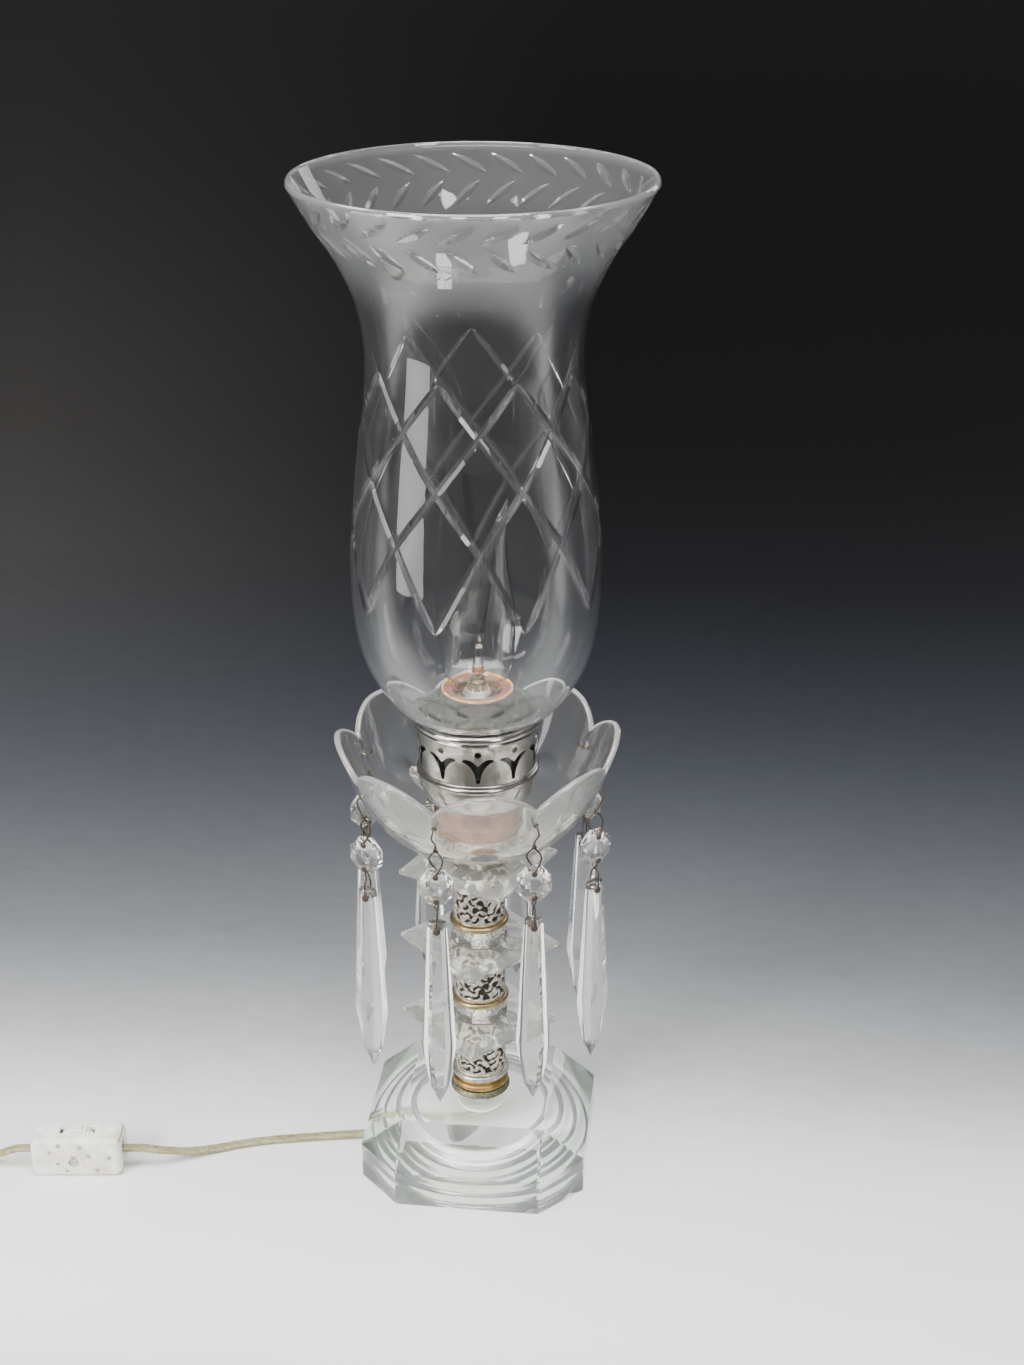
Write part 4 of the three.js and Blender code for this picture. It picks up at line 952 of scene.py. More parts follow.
def make_prism(k):
    """Spear prism: eight long facets that widen to a shoulder, then eight that meet in a point."""
    def ring(width, depth, drop):
        half, thick = width / 2, depth / 2
        return [(x * sx, y * sy, -drop) for sx in (-1, 1) for sy in (-1, 1)
                for x, y in ((thick * 0.3, half), (thick, half * 0.42))]
    shoulder = PRISM_DROP + PRISM_LENGTH * PRISM_SHOULDER
    corners = ring(PRISM_TOP_WIDTH - 0.8, PRISM_TOP_DEPTH - 0.8, PRISM_DROP)
    corners += ring(PRISM_TOP_WIDTH, PRISM_TOP_DEPTH, PRISM_DROP + 1.0)
    corners += ring(PRISM_WIDTH, PRISM_DEPTH, shoulder)
    corners += ring(PRISM_WIDTH * 0.52, PRISM_DEPTH * 0.62, shoulder + PRISM_LENGTH * 0.235)
    corners += [(0, 0, -(PRISM_DROP + PRISM_LENGTH))]
    prism = convex(f"spear_prism_{k + 1}", hung(corners, k, FACE_TURNS[k]))
    return cut_out(prism, [drill(k, PRISM_PIN)], smooth_angle=8)


def make_pin(k, drop, depth, scale=1.0):
    """Two domed bronze heads, one on each face of the crystal, over the wire that runs through it."""
    turn = full_turn(20)
    heads = []
    for side in (1, -1):
        profile = [(r * scale, side * (depth + lift * scale)) for r, lift in PIN_HEAD][::side]
        rings = [np.stack([np.full(20, x), r * np.cos(turn), r * np.sin(turn) - drop], -1) for r, x in profile]
        heads.append(loft("head", hung(rings, k, FACE_TURNS[k]), smooth_angle=50))
    return joined(f"pin_{k + 1}_{round(drop)}", heads)


def make_hanger(k):
    """Bronze wire: a hook through the dish, a short shank, a twisted eye, then a bow into the crystal."""
    upper = BEAD_DROP - BEAD_HOLE
    sway = 0.8 if k % 2 else -0.7
    hook = smooth_line([
        (-4.6, 0.4, 3.0), (-4.6, 0, 0.8), (-3.4, 0, -0.2), (-1.0, 0, 0.1), (2.2, 0, 0.1), (4.1, 0, -1.5),
        (3.9, sway, -5.0), (2.3, -sway, -9.0), (1.2, 0, -12.2), (0.2, 1.1, -13.8), (-0.8, 0.1, -14.9),
        (0.2, -1.1, -14.0), (1.1, 0, -12.9)], 90)
    right = [(0.8, 2.6, -16.6), (1.5, 3.6, -19.4), (2.4, 2.3, -23.2), (3.3, 0.4, -26.4), (2.3, 0, -upper)]
    left = [(-x, -y, z) for x, y, z in reversed(right)]
    bow = smooth_line([(-0.3, 0.6, -11.6), (0.4, -0.8, -13.2), (0, 0.6, -14.6), *right, (0, 0, -upper), *left,
                       (-0.2, -0.4, -14.4), (0.6, 0.7, -13.0)], 120)
    pieces = [wire("hook", hung(hook, k), 0.45), wire("bow", hung(bow, k, FACE_TURNS[k]), 0.45)]
    return joined(f"bronze_hanger_{k + 1}", pieces)


def make_link(k):
    """Bronze link: through the crystal's lower hole, two legs down to the pin in the prism."""
    upper = BEAD_DROP + BEAD_HOLE
    lower = PRISM_PIN
    leg = PRISM_TOP_DEPTH / 2 + 0.75
    line = smooth_line([
        (0.6, 1.2, -(upper + 3.4)), (2.4, 0.5, -(upper + 1.2)), (2.3, 0, -upper), (0, 0, -upper + 0.1),
        (-2.4, 0, -upper), (-1.6, -0.7, -(upper + 3.0)), (0.4, -1.0, -(upper + 4.6)), (1.4, 0.2, -(upper + 6.4)),
        (leg, 0.3, -(upper + 9.0)), (leg * 1.02, 0, -(lower - 2.6)), (leg * 0.9, 0, -lower), (0, 0, -lower),
        (-leg * 0.9, 0, -lower), (-leg * 1.02, 0, -(lower - 3.2)), (-leg * 0.8, 0.2, -(upper + 9.2)),
        (-0.6, 0.6, -(upper + 6.2)), (1.0, 0.9, -(upper + 3.8))], 120)
    return wire(f"bronze_link_{k + 1}", hung(line, k, FACE_TURNS[k]), 0.42)


# Copper band and pierced shade holder

def make_band():
    foot, top, radius = extent("copper_band")
    profile = [(radius - 1.2, foot), (radius - 0.1, foot), (radius, foot + 0.4), (radius, foot + 8.2),
               (radius - 0.45, foot + 8.6), (radius - 0.45, foot + 9.1), (radius, foot + 9.5), (radius, top - 0.6)]
    profile += arc((radius - 0.8, top - 0.8), 0.8, 15, 90, 5)
    profile += [(BORE, top), (BORE, top - 1.2), (radius - 1.2, top - 1.2)]
    return turned("copper_band_spun", profile, 144)


HOLDER_FOOT = foot_of["shade_holder"]
HOLDER_TOP = top_of["shade_holder"]
HOLDER_WAIST = 31.3
HOLDER_RIM = 33.0
HOLDER_WALL = 0.9
BOWL_FOOT = 22.5
BOWL_TALL = 17.0
WALL_LOW = HOLDER_FOOT + 22.0
WALL_HIGH = HOLDER_TOP - 5.0
TULIPS = 10
TULIP_START = 7.5


def make_holder():
    """Spun bowl, bead, flared wall and rolled rim; ten tulips with a dot above each are pressed out."""
    bowl_end = HOLDER_FOOT + BOWL_TALL
    bowl = [(BOWL_FOOT + (HOLDER_WAIST - BOWL_FOOT) * math.sin(a), bowl_end - BOWL_TALL * math.cos(a))
            for a in np.linspace(0, math.pi / 2, 16)]
    middle = (WALL_LOW + WALL_HIGH) / 2
    outside = [(BORE, HOLDER_FOOT)] + bowl
    outside += arc((HOLDER_WAIST - 0.3, bowl_end + 2.1), 1.9, -70, 80, 12)
    outside += arc((HOLDER_WAIST - 0.1, bowl_end + 4.75), 0.7, -75, 80, 7)
    outside += [(HOLDER_WAIST, WALL_LOW + 0.8), (HOLDER_WAIST + 0.75, middle), (HOLDER_RIM, WALL_HIGH - 1.6)]
    outside += arc((HOLDER_RIM + 0.1, WALL_HIGH - 0.6), 0.7, -80, 75, 7)
    outside += arc((HOLDER_RIM - 0.4, HOLDER_TOP - 2.3), 2.2, -60, 100, 14)
    inside = [(HOLDER_RIM - HOLDER_WALL, HOLDER_TOP - 0.6), (HOLDER_RIM - HOLDER_WALL, WALL_HIGH),
              (HOLDER_WAIST + 0.75 - HOLDER_WALL, middle), (HOLDER_WAIST - HOLDER_WALL, WALL_LOW),
              (HOLDER_WAIST - HOLDER_WALL, bowl_end + 2.5), (26.7, bowl_end + 2.5), (26.7, bowl_end + 1.5),
              (HOLDER_WAIST - HOLDER_WALL, bowl_end + 1.5)]
    inside += [(r - HOLDER_WALL, h + 0.7) for r, h in bowl[::-1][1:-1]]
    inside += [(21.6, HOLDER_FOOT + 0.9), (BORE, HOLDER_FOOT + 0.9)]
    holder = turned("pierced_shade_holder", outside + inside, 240, smooth_angle=40)
    cutters = []
    for i in range(TULIPS):
        cutters += tulip_cutters(TULIP_START + i * 360 / TULIPS, middle)
    return cut_out(holder, cutters, smooth_angle=40)


def tulip_cutters(azimuth, middle):
    """A tulip with two thin flared arms and a tapering foot, and a round dot above it."""
    right = [(0.0, -10.4), (0.9, -10.1)]
    right += smooth_line([(1.25, -8.0), (1.9, -4.6), (3.5, -1.2), (5.8, 1.3), (8.2, 2.7)], 14).tolist()
    right += smooth_line([(8.0, 3.7), (5.6, 4.2), (3.3, 3.3), (1.4, 1.5), (0.0, 0.2)], 10).tolist()
    outline = np.array(right + [(-x, z) for x, z in right[::-1]][1:-1])
    ring = full_turn(20)
    dot = np.stack([1.75 * np.cos(ring), 7.0 + 1.75 * np.sin(ring)], -1)
    made = []
    for shape in (outline, dot):
        ends = [np.column_stack([np.full(len(shape), HOLDER_WAIST + reach), shape]) for reach in (-4.0, 4.0)]
        made.append(loft("tulip_cutter", framed(ends, (0, 0, middle), *way_out(azimuth))))
    return made


# Socket, screw shell and pipe

THREAD_PITCH = 3.63


def threaded(name, radius, thick, low, high, depth, ends, around=96):
    """Thin sleeve with a rolled thread: r = radius - depth * (1 - cos(2 pi (z / pitch - turn))) / 2.

    Over the last pitch at both ends the wave settles at the share named by ends."""
    rows = int((high - low) / THREAD_PITCH * 12)
    turn = np.arange(around) / around
    height = np.linspace(low, high, rows)[:, None]
    fade = np.clip(np.minimum(height - low, high - height) / THREAD_PITCH, 0, 1)
    wave = ends + ((1 - np.cos(2 * math.pi * (height / THREAD_PITCH - turn))) / 2 - ends) * fade

    def ring(reach):
        x, y = reach * np.sin(2 * math.pi * turn), -reach * np.cos(2 * math.pi * turn)
        return np.stack([x, y, np.broadcast_to(height, wave.shape)], -1)
    outer = radius - depth * wave
    return loft(name, np.concatenate([ring(outer), ring(outer - thick)[::-1]]), wrap=True, smooth_angle=70)


def make_socket_cap():
    foot, _, radius = extent("socket_cap")
    outside = [(BORE, 0), (8.2, 0), (8.5, 0.3), (8.5, 5.6)]
    outside += smooth_line([(8.7, 6.6), (12.5, 8.4), (16.4, 10.4), (18.6, 13.0), (radius, 16.0)], 14).tolist()
    outside += [(radius, 17.7), (radius - 0.3, 18)]
    inside = [(radius - 0.6, 17.7), (radius - 0.7, 14.4), (15.6, 11.8), (BORE, 7.8)]
    return turned("socket_cap_spun", [(r, z + foot) for r, z in outside + inside], 120)


def make_socket_shell():
    """Straight shell with two rolled beads and a turned-in lip."""
    low, high, radius = extent("socket_shell")
    face = radius - 0.35
    outside = [(face, low), (face, low + 7)] + arc((face, low + 8.2), 0.35, -90, 90, 7)
    outside += [(face, low + 9.2), (face, high - 9.6)] + arc((face, high - 8.6), 0.35, -90, 90, 7)
    outside += [(face, high - 7.6), (face, high - 1.0)] + arc((face - 0.1, high - 0.45), 0.45, -20, 110, 6)
    inside = [(radius - 0.72, high - 0.4), (radius - 0.72, low)]
    return turned("socket_shell_drawn", outside + inside, 144)


def make_liner():
    low, high, radius = extent("socket_liner")
    profile = [(radius - 1.1, low), (radius, low), (radius, high - 0.15), (radius - 0.15, high),
               (radius - 0.95, high), (radius - 1.1, high - 0.15)]
    return turned("fibre_liner", profile, 120)


def make_socket_body():
    """Moulded insulator with a stepped bore and a brass centre contact below."""
    low, high, radius = extent("socket_body")
    bore = radius_of("screw_shell") + 0.3
    floor = foot_of["screw_shell"]
    outside = [(0.01, low), (radius - 2, low)] + arc((radius - 1.6, low + 1.6), 1.6, -90, 0, 6)
    outside += arc((radius - 0.8, high - 0.8), 0.8, 0, 90, 5)
    inside = [(bore + 0.7, high), (bore, high - 0.7), (bore, floor + 0.4), (bore - 0.4, floor), (6.4, floor),
              (6, floor - 0.4), (6, floor - 1.5), (0.01, floor - 1.5)]
    return turned("socket_insulator", outside + inside, 96)


def make_socket_face():
    """Copper-coloured face ring that closes the gap between the liner and the bulb's cap."""
    low = top_of["socket_body"] + 0.15
    outer, inner = radius_of("socket_liner") - 1.25, radius_of("bulb_cap") + 0.45
    profile = [(inner, low), (outer, low), (outer, low + 0.7), (outer - 0.3, low + 0.9), (inner + 0.3, low + 0.9),
               (inner, low + 0.7)]
    return turned("socket_face_ring", profile, 96)


def make_screw_shell():
    low, high, radius = extent("screw_shell")
    return threaded("rolled_screw_shell", radius, 0.35, low, high, 0.4, ends=0)


def make_bulb_cap():
    """Screw cap: skirt, thread, glass insulator cone and a solder point."""
    low, high, radius = extent("bulb_cap")
    start = low + 7
    thread = threaded("cap_thread", radius, 0.5, start, high - 3.4, 0.75, ends=0.6)
    skirt = turned("cap_skirt", [(radius - 0.55, high - 3.4), (radius - 0.02, high - 3.4), (radius - 0.02, high - 0.4),
                                 (radius - 0.3, high), (radius - 0.55, high - 0.1)], 96)
    cone = turned("cap_foot", [(0.01, low + 0.5)] + arc((2.2, low + 1.5), 1.5, -90, 0, 6) + [
        (4.4, low + 2), (9, low + 4.4), (radius - 0.7, start), (radius - 0.5, start + 0.3), (radius - 1.1, start + 0.3),
        (8.6, low + 5.4), (0.01, low + 5)], 96)
    return joined("brass_screw_cap", [thread, skirt, cone])


def make_pipe():
    low, high, radius = extent("lamp_pipe")
    rows = 2 * int(high - low)
    height = np.linspace(low, high, rows)
    reach = radius - 0.35 * (1 + np.cos(np.arange(rows) * math.pi)) / 2
    outside = np.stack([reach, height], -1).tolist()
    return turned("threaded_pipe", outside + [(radius - 1.4, high), (radius - 1.4, low)], 40, smooth_angle=60)


def make_nut():
    """Hexagon with turned chamfers on a round flange."""
    low, high = foot_of["base_nut"], top_of["base_nut"]
    turn = full_turn(96)
    six = 8.5 / np.cos(np.mod(turn, math.pi / 3) - math.pi / 6)

    def ring(reach, height):
        reach = np.broadcast_to(reach, turn.shape)
        return np.stack([reach * np.cos(turn), reach * np.sin(turn), np.full(turn.shape, height)], -1)
    rings = [ring(BORE, low), ring(np.minimum(six, 8.3), low), ring(np.minimum(six, 9.3), low + 0.5),
             ring(six, low + 1.0), ring(six, high - 1.7), ring(9.9, high - 1.5), ring(12.6, high - 1.5),
             ring(13, high - 1.1), ring(13, high - 0.3), ring(12.7, high), ring(BORE, high)]
    return loft("steel_flanged_nut", rings, wrap=True, smooth_angle=20)


# Flame bulb

BULB_FOOT = foot_of["bulb_glass"]
BULB_TALL = top_of["bulb_glass"] - BULB_FOOT
TIP_BEND = 16.0
BULB_WALL = 0.75
BULB_SOLID = 103
BULB_LINE = [(12.1, 0), (12.1, 4.5), (14.9, 10.5), (17.6, 18), (18.8, 28), (18.2, 40), (15.4, 55), (10.9, 70),
             (6.8, 84), (3.7, 97), (1.5, 106.5), (0.5, 110.6), (0.01, BULB_TALL)]
FILAMENT_TURNS = 30
FILAMENT_LOW = 42.0
FILAMENT_HIGH = 66.0
FILAMENT_RADIUS = 2.1


def leaned(points):
    """Bends the upper part of the bulb towards +X: x grows by TIP_BEND * rise^2."""
    points = np.array(points, float)
    rise = np.clip((points[..., 2] - BULB_FOOT) / BULB_TALL, 0, 1)
    points[..., 0] += TIP_BEND * rise ** 2
    return points


def make_bulb():
    """Thin glass of one wall thickness, solid in its bent tip."""
    line = smooth_line(BULB_LINE, 90)
    line[:, 0] = np.clip(line[:, 0], 0.01, radius_of("bulb_glass"))
    inner = line[line[:, 1] < BULB_SOLID][::-1] - (BULB_WALL, 0)
    inner[0, 0] = 0.01
    wall = np.vstack([line, inner]) + (0, BULB_FOOT)
    return loft("bent_tip_bulb", leaned(turned_points(wall, 96)), wrap=True, smooth_angle=60)


def make_stem():
    """Glass stem with a pressed head, lead wires, support hooks and a long dark coiled filament."""
    line = [(0.01, 1), (10.6, 1), (10.4, 2.0), (8.4, 3.4), (6.2, 6), (4.4, 10), (3.2, 15), (2.5, 22), (2.3, 26),
            (2.7, 29), (1.9, 31), (0.9, 33), (0.7, 40), (0.7, 45.6), (1.0, 46.6), (0.5, 47.4), (0.01, 47.6)]
    line = [(r, z + BULB_FOOT) for r, z in line]
    stem = loft("glass_stem", leaned(turned_points(line, 40)), wrap=True, smooth_angle=50)
    turn = np.linspace(0, FILAMENT_TURNS * 2 * math.pi, FILAMENT_TURNS * 14)
    rise = FILAMENT_LOW + turn / turn[-1] * (FILAMENT_HIGH - FILAMENT_LOW)
    coil = np.stack([FILAMENT_RADIUS * np.cos(turn), FILAMENT_RADIUS * np.sin(turn), BULB_FOOT + rise], -1)
    core = np.linspace((0, 0, BULB_FOOT + FILAMENT_LOW - 4), (0, 0, BULB_FOOT + FILAMENT_HIGH + 4), 30)
    filament = [wire("coil", leaned(coil), 0.42, 6), wire("core", leaned(core), 1.6, 12)]
    for side in (-1, 1):
        lead = smooth_line([(side * 1.3, 0, 20), (side * 1.6, 0, 30), (side * 2.9, 0, 36), (side * 2.3, 0.4, 41)], 30)
        filament.append(wire("lead", leaned(lead + (0, 0, BULB_FOOT)), 0.28, 8))
        hook = smooth_line([(0, 0, 45), (side * 1.2, 0.8, 54), (side * 2.2, 0, 66), (0, 0.4, 69.4)], 26)
        filament.append(wire("hook", leaned(hook + (0, 0, BULB_FOOT)), 0.18, 6))
    return stem, joined("filament_and_wires", filament)


# Flared shade with cut decoration

SHADE_FOOT = foot_of["shade"]
SHADE_WALL = 2.4
RIM_RISE = 1.9
SHADE_LINE = [(29.5, 0), (29.5, 28.5), (30.6, 32.1), (34.6, 34.5), (43, 39.5), (51.8, 51.5), (59.4, 67.5), (63.6, 89.5),
              (64.4, 113.5), (63, 141.5), (58.8, 179.5), (54.8, 207.5), (54, 229.5), (58, 253.5), (67, 274.5),
              (78, 291.5), (radius_of("shade"), top_of["shade"] - SHADE_FOOT - RIM_RISE)]
REPEATS = 9
SHEET = 60.0
SECTOR = 2 * math.pi * SHEET / REPEATS
FIRST_CROSSING = 9.0
CROSSINGS = (238.5, 213.5, 186.0, 156.5, 115.0)
LEAVES_PER_REPEAT = 3
# Frosted share at the rim: its ground edge, and in part a painted highlight
RIM_FROST_AND_HIGHLIGHT = 0.45
# Pale film graded up the flare: painted light standing in for the reflection seen in the mouth
FLARE_PAINTED_GLOW = ((256, 0.0), (274, 0.09), (290, 0.13))
LEAF_STEM = 314.5
# Half width, depth, and how late the cut fades towards its ends
DIAMOND_CUT = (2.0, 0.85, 26)
LEAF_CUT = (2.2, 0.95, 2.2)
SHEET_COLUMNS = 26
CROSSING_TIPS = ((0, 1.15), (0, -1.15), (0.95, 0), (-0.95, 0))


def cut_along(points, half, deep, fade):
    """One mitre cut: its line on the sheet, and its half width and depth, which fade towards both ends."""
    line = smooth_line(points, max(9, int(np.linalg.norm(np.diff(points, axis=0), axis=1).sum() / 1.9)))
    share = np.linspace(0, 1, len(line))
    full = 1 - np.abs(2 * share - 1) ** fade
    return line, half * full, deep * np.sqrt(full)


def shade_cuts():
    """Two families of long crossing cuts round the body, and two rows of leaves round the neck.

    The sheet's X is the azimuth times SHEET, its Y the length along the wall from the foot."""
    cuts = []
    for side in (-1, 1):
        zigzag = [(side * step * SECTOR / 2, level) for step, level in enumerate(CROSSINGS, start=-1)]
        cuts += [shifted(cut_along(zigzag, *DIAMOND_CUT), k * SECTOR) for k in range(-3, 5)]
    pitch = SECTOR / LEAVES_PER_REPEAT
    for k in range(-3, LEAVES_PER_REPEAT + 3):
        upper = [(0, LEAF_STEM + 2.0), (6.2, LEAF_STEM + 6.4), (13.2, LEAF_STEM + 12.4)]
        lower = [(1.6, LEAF_STEM - 1.6), (7.2, LEAF_STEM - 8.6), (13.0, LEAF_STEM - 15.4)]
        cuts.append(shifted(cut_along(upper, *LEAF_CUT), k * pitch))
        cuts.append(shifted(cut_along(lower, *LEAF_CUT), k * pitch + 1.0))
    return cuts


def shifted(cut, by):
    line, half, deep = cut
    return line + (by, 0), half, deep


def cut_depth(at, cuts):
    """Depth of the deepest V cut at each point of the sheet: deep * (1 - distance / half)."""
    deepest = np.zeros(len(at))
    row = np.arange(len(at))
    for line, half, deep in cuts:
        start, step = line[:-1], np.diff(line, axis=0)
        gap = at[:, None] - start
        share = np.clip((gap * step).sum(-1) / (step ** 2).sum(-1), 0, 1)
        away = np.linalg.norm(gap - share[..., None] * step, axis=-1)
        nearest = away.argmin(1)
        place = nearest + share[row, nearest]
        wide = np.interp(place, np.arange(len(half)), half)
        full = np.interp(place, np.arange(len(half)), deep)
        deepest = np.maximum(deepest, full * np.clip(1 - away[row, nearest] / np.maximum(wide, 1e-6), 0, 1))
    return deepest


def inside_sector(line):
    """Stretches of a line between the sheet's X = 0 and X = SECTOR, ended exactly on those limits."""
    stretches, current = [], []
    for a, b in zip(line[:-1], line[1:]):
        low, high = 0.0, 1.0
        run = b[0] - a[0]
        for limit, sign in ((0.0, 1), (SECTOR, -1)):
            if abs(run) < 1e-9:
                if sign * (a[0] - limit) < 0:
                    low, high = 1.0, 0.0
                continue
            meet = (limit - a[0]) / run
            if sign * run > 0:
                low = max(low, meet)
            else:
                high = min(high, meet)
        if high - low > 1e-6:
            first, last = a + (b - a) * low, a + (b - a) * high
            if not current:
                current = [first]
            current.append(last)
            if high < 1:
                stretches.append(np.array(current))
                current = []
        elif current:
            stretches.append(np.array(current))
            current = []
    if current:
        stretches.append(np.array(current))
    return stretches


def sector_sheet(length, row_step=2.6):
    """Triangles of one sector: a plain grid, with every cut's two edges and its middle as edges of their own."""
    cuts = shade_cuts()
    columns, rows = SHEET_COLUMNS, int(length / row_step)
    across, up = np.meshgrid(np.linspace(0, SECTOR, columns + 1), np.linspace(0, length, rows + 1), indexing="xy")
    grid = np.stack([across.ravel(), up.ravel()], -1)
    margin = [(line, half + 0.55, np.ones(len(half))) for line, half, _ in cuts]
    rim = (np.abs(grid[:, 1]) < 1e-6) | (np.abs(grid[:, 1] - length) < 1e-6)
    grid = grid[(cut_depth(grid, margin) <= 0) | rim]
    points, edges = [Vector(p) for p in grid.tolist()], []
    for line, half, _ in cuts:
        run = unit(np.gradient(line, axis=0))
        side = np.stack([-run[:, 1], run[:, 0]], -1) * half[:, None]
        for edge in (line, line + side, line - side):
            for stretch in inside_sector(edge):
                first = len(points)
                points += [Vector(p) for p in stretch.tolist()]
                edges += [(i, i + 1) for i in range(first, len(points) - 1)]
    for step, level in enumerate(CROSSINGS[1:-1]):
        centre = ((step % 2) * SECTOR / 2, level)
        for shift in (0, SECTOR):
            for dx, dy in CROSSING_TIPS:
                if -1e-9 <= centre[0] + shift + dx <= SECTOR + 1e-9:
                    points.append(Vector((centre[0] + shift + dx, centre[1] + dy)))
    found = delaunay_2d_cdt(points, edges, [], 0, 1e-5)
    at = np.array([tuple(p) for p in found[0]], float)
    faces = np.array([tuple(f) for f in found[2]])
    sides = at[faces][:, :, 0]
    on_side = (np.abs(sides) < 1e-3).all(axis=1) | (np.abs(sides - SECTOR) < 1e-3).all(axis=1)
    return at, cut_depth(at, cuts), faces[~on_side]


def make_shade():
    """Wall of revolution, cut from outside; one sector of the sheet is wrapped round the axis nine times."""
    line = smooth_line(SHADE_LINE, 700)
    run = run_along(line)
    slope = unit(np.gradient(line, axis=0))
    out = np.stack([slope[:, 1], -slope[:, 0]], -1)

    def wall(length, depth, azimuth):
        normal = np.stack([np.interp(length, run, out[:, i]) for i in (0, 1)], -1)
        flat = np.stack([np.interp(length, run, line[:, i]) for i in (0, 1)], -1)
        radius, height = np.moveaxis(flat - normal * np.asarray(depth)[..., None], -1, 0)
        return np.stack([radius * np.sin(azimuth), -radius * np.cos(azimuth), height + SHADE_FOOT], -1)

    sheet, depth, triangles = sector_sheet(run[-1])
    points, faces, offset = [], [], 0
    for k in range(REPEATS):
        azimuth = math.radians(FIRST_CROSSING) + (sheet[:, 0] + k * SECTOR) / SHEET
        points.append(wall(sheet[:, 1], depth, azimuth))
        faces += (triangles + offset).tolist()
        offset += len(sheet)
    columns = SHEET_COLUMNS * REPEATS
    azimuth = math.radians(FIRST_CROSSING) + full_turn(columns)
    rings = [wall(np.full(columns, run[-1]), np.zeros(columns), azimuth)]
    for angle in np.radians((30, 60, 90, 120, 150)):
        lip = wall(np.full(columns, run[-1]), np.full(columns, SHADE_WALL * (1 - math.cos(angle)) / 2), azimuth)
        lip[:, 2] += RIM_RISE * math.sin(angle)
        rings.append(lip)
    inner_steps = np.linspace(run[-1], 0, 90)
    rings += [wall(np.full(columns, at), np.full(columns, SHADE_WALL), azimuth) for at in inner_steps]
    rings[-1][:, 2] = SHADE_FOOT
    rings.append(wall(np.zeros(columns), np.zeros(columns), azimuth))
    rings = np.array(rings)
    points.append(rings.reshape(-1, 3))
    faces += (quads(len(rings), columns, False) + offset).tolist()
    shade = closed_mesh("cut_glass_shade", np.vstack(points), faces, smooth_angle=14)

    def at_cuts(points):
        height = points[:, 2] - SHADE_FOOT
        radius = np.hypot(points[:, 0], points[:, 1])
        gap = np.abs(line[None, :, 1] - height[:, None])
        wall_radius = line[np.argmin(gap, axis=1), 0]
        sunk = (wall_radius - radius) / 0.5
        # Painted highlight: the polished cuts are given a frosted share so that they show pale
        cut = np.where((sunk > 0.12) & (sunk < 2.1) & (height > 90), np.clip(sunk, 0, 1) * 0.12, 0.0)
        # Painted light: the pale film up the flare
        dust = np.interp(height, *zip(*FLARE_PAINTED_GLOW))
        return np.where(height > line[-1, 1] + 0.1, RIM_FROST_AND_HIGHLIGHT, np.maximum(cut, dust))

    return marked(shade, "frost_and_painted_light", at_cuts)


# Switch on the cord and plug

SWITCH_LONG = 54.0
SWITCH_THICK = 20.0
SWITCH_SPOT = (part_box("switch_wheel")[0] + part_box("switch_wheel")[1]) / 2 / MM
SWITCH_TURN = math.radians(6.5)
WHEEL_RADIUS = 10.6
WHEEL_RIDGES = 26
SCREW_PLACE = (-1.5, 0, 9.5)
WHEEL_RISE = SWITCH_HEIGHT + 2.4 - WHEEL_RADIUS


def on_switch(points):
    """From the switch's own frame (X along the cord, Y across, Z up) to the lamp's."""
    return spun(points, SWITCH_TURN) + (*SWITCH_SPOT[:2], 0)


def block(name, corners):
    """Box cutter between two corners, in the switch's frame."""
    (x0, y0, z0), (x1, y1, z1) = corners
    low = [(x0, y0, z0), (x1, y0, z0), (x1, y1, z0), (x0, y1, z0)]
    high = [(x, y, z1) for x, y, _ in low]
    return loft(name, on_switch(np.array([low, high])))


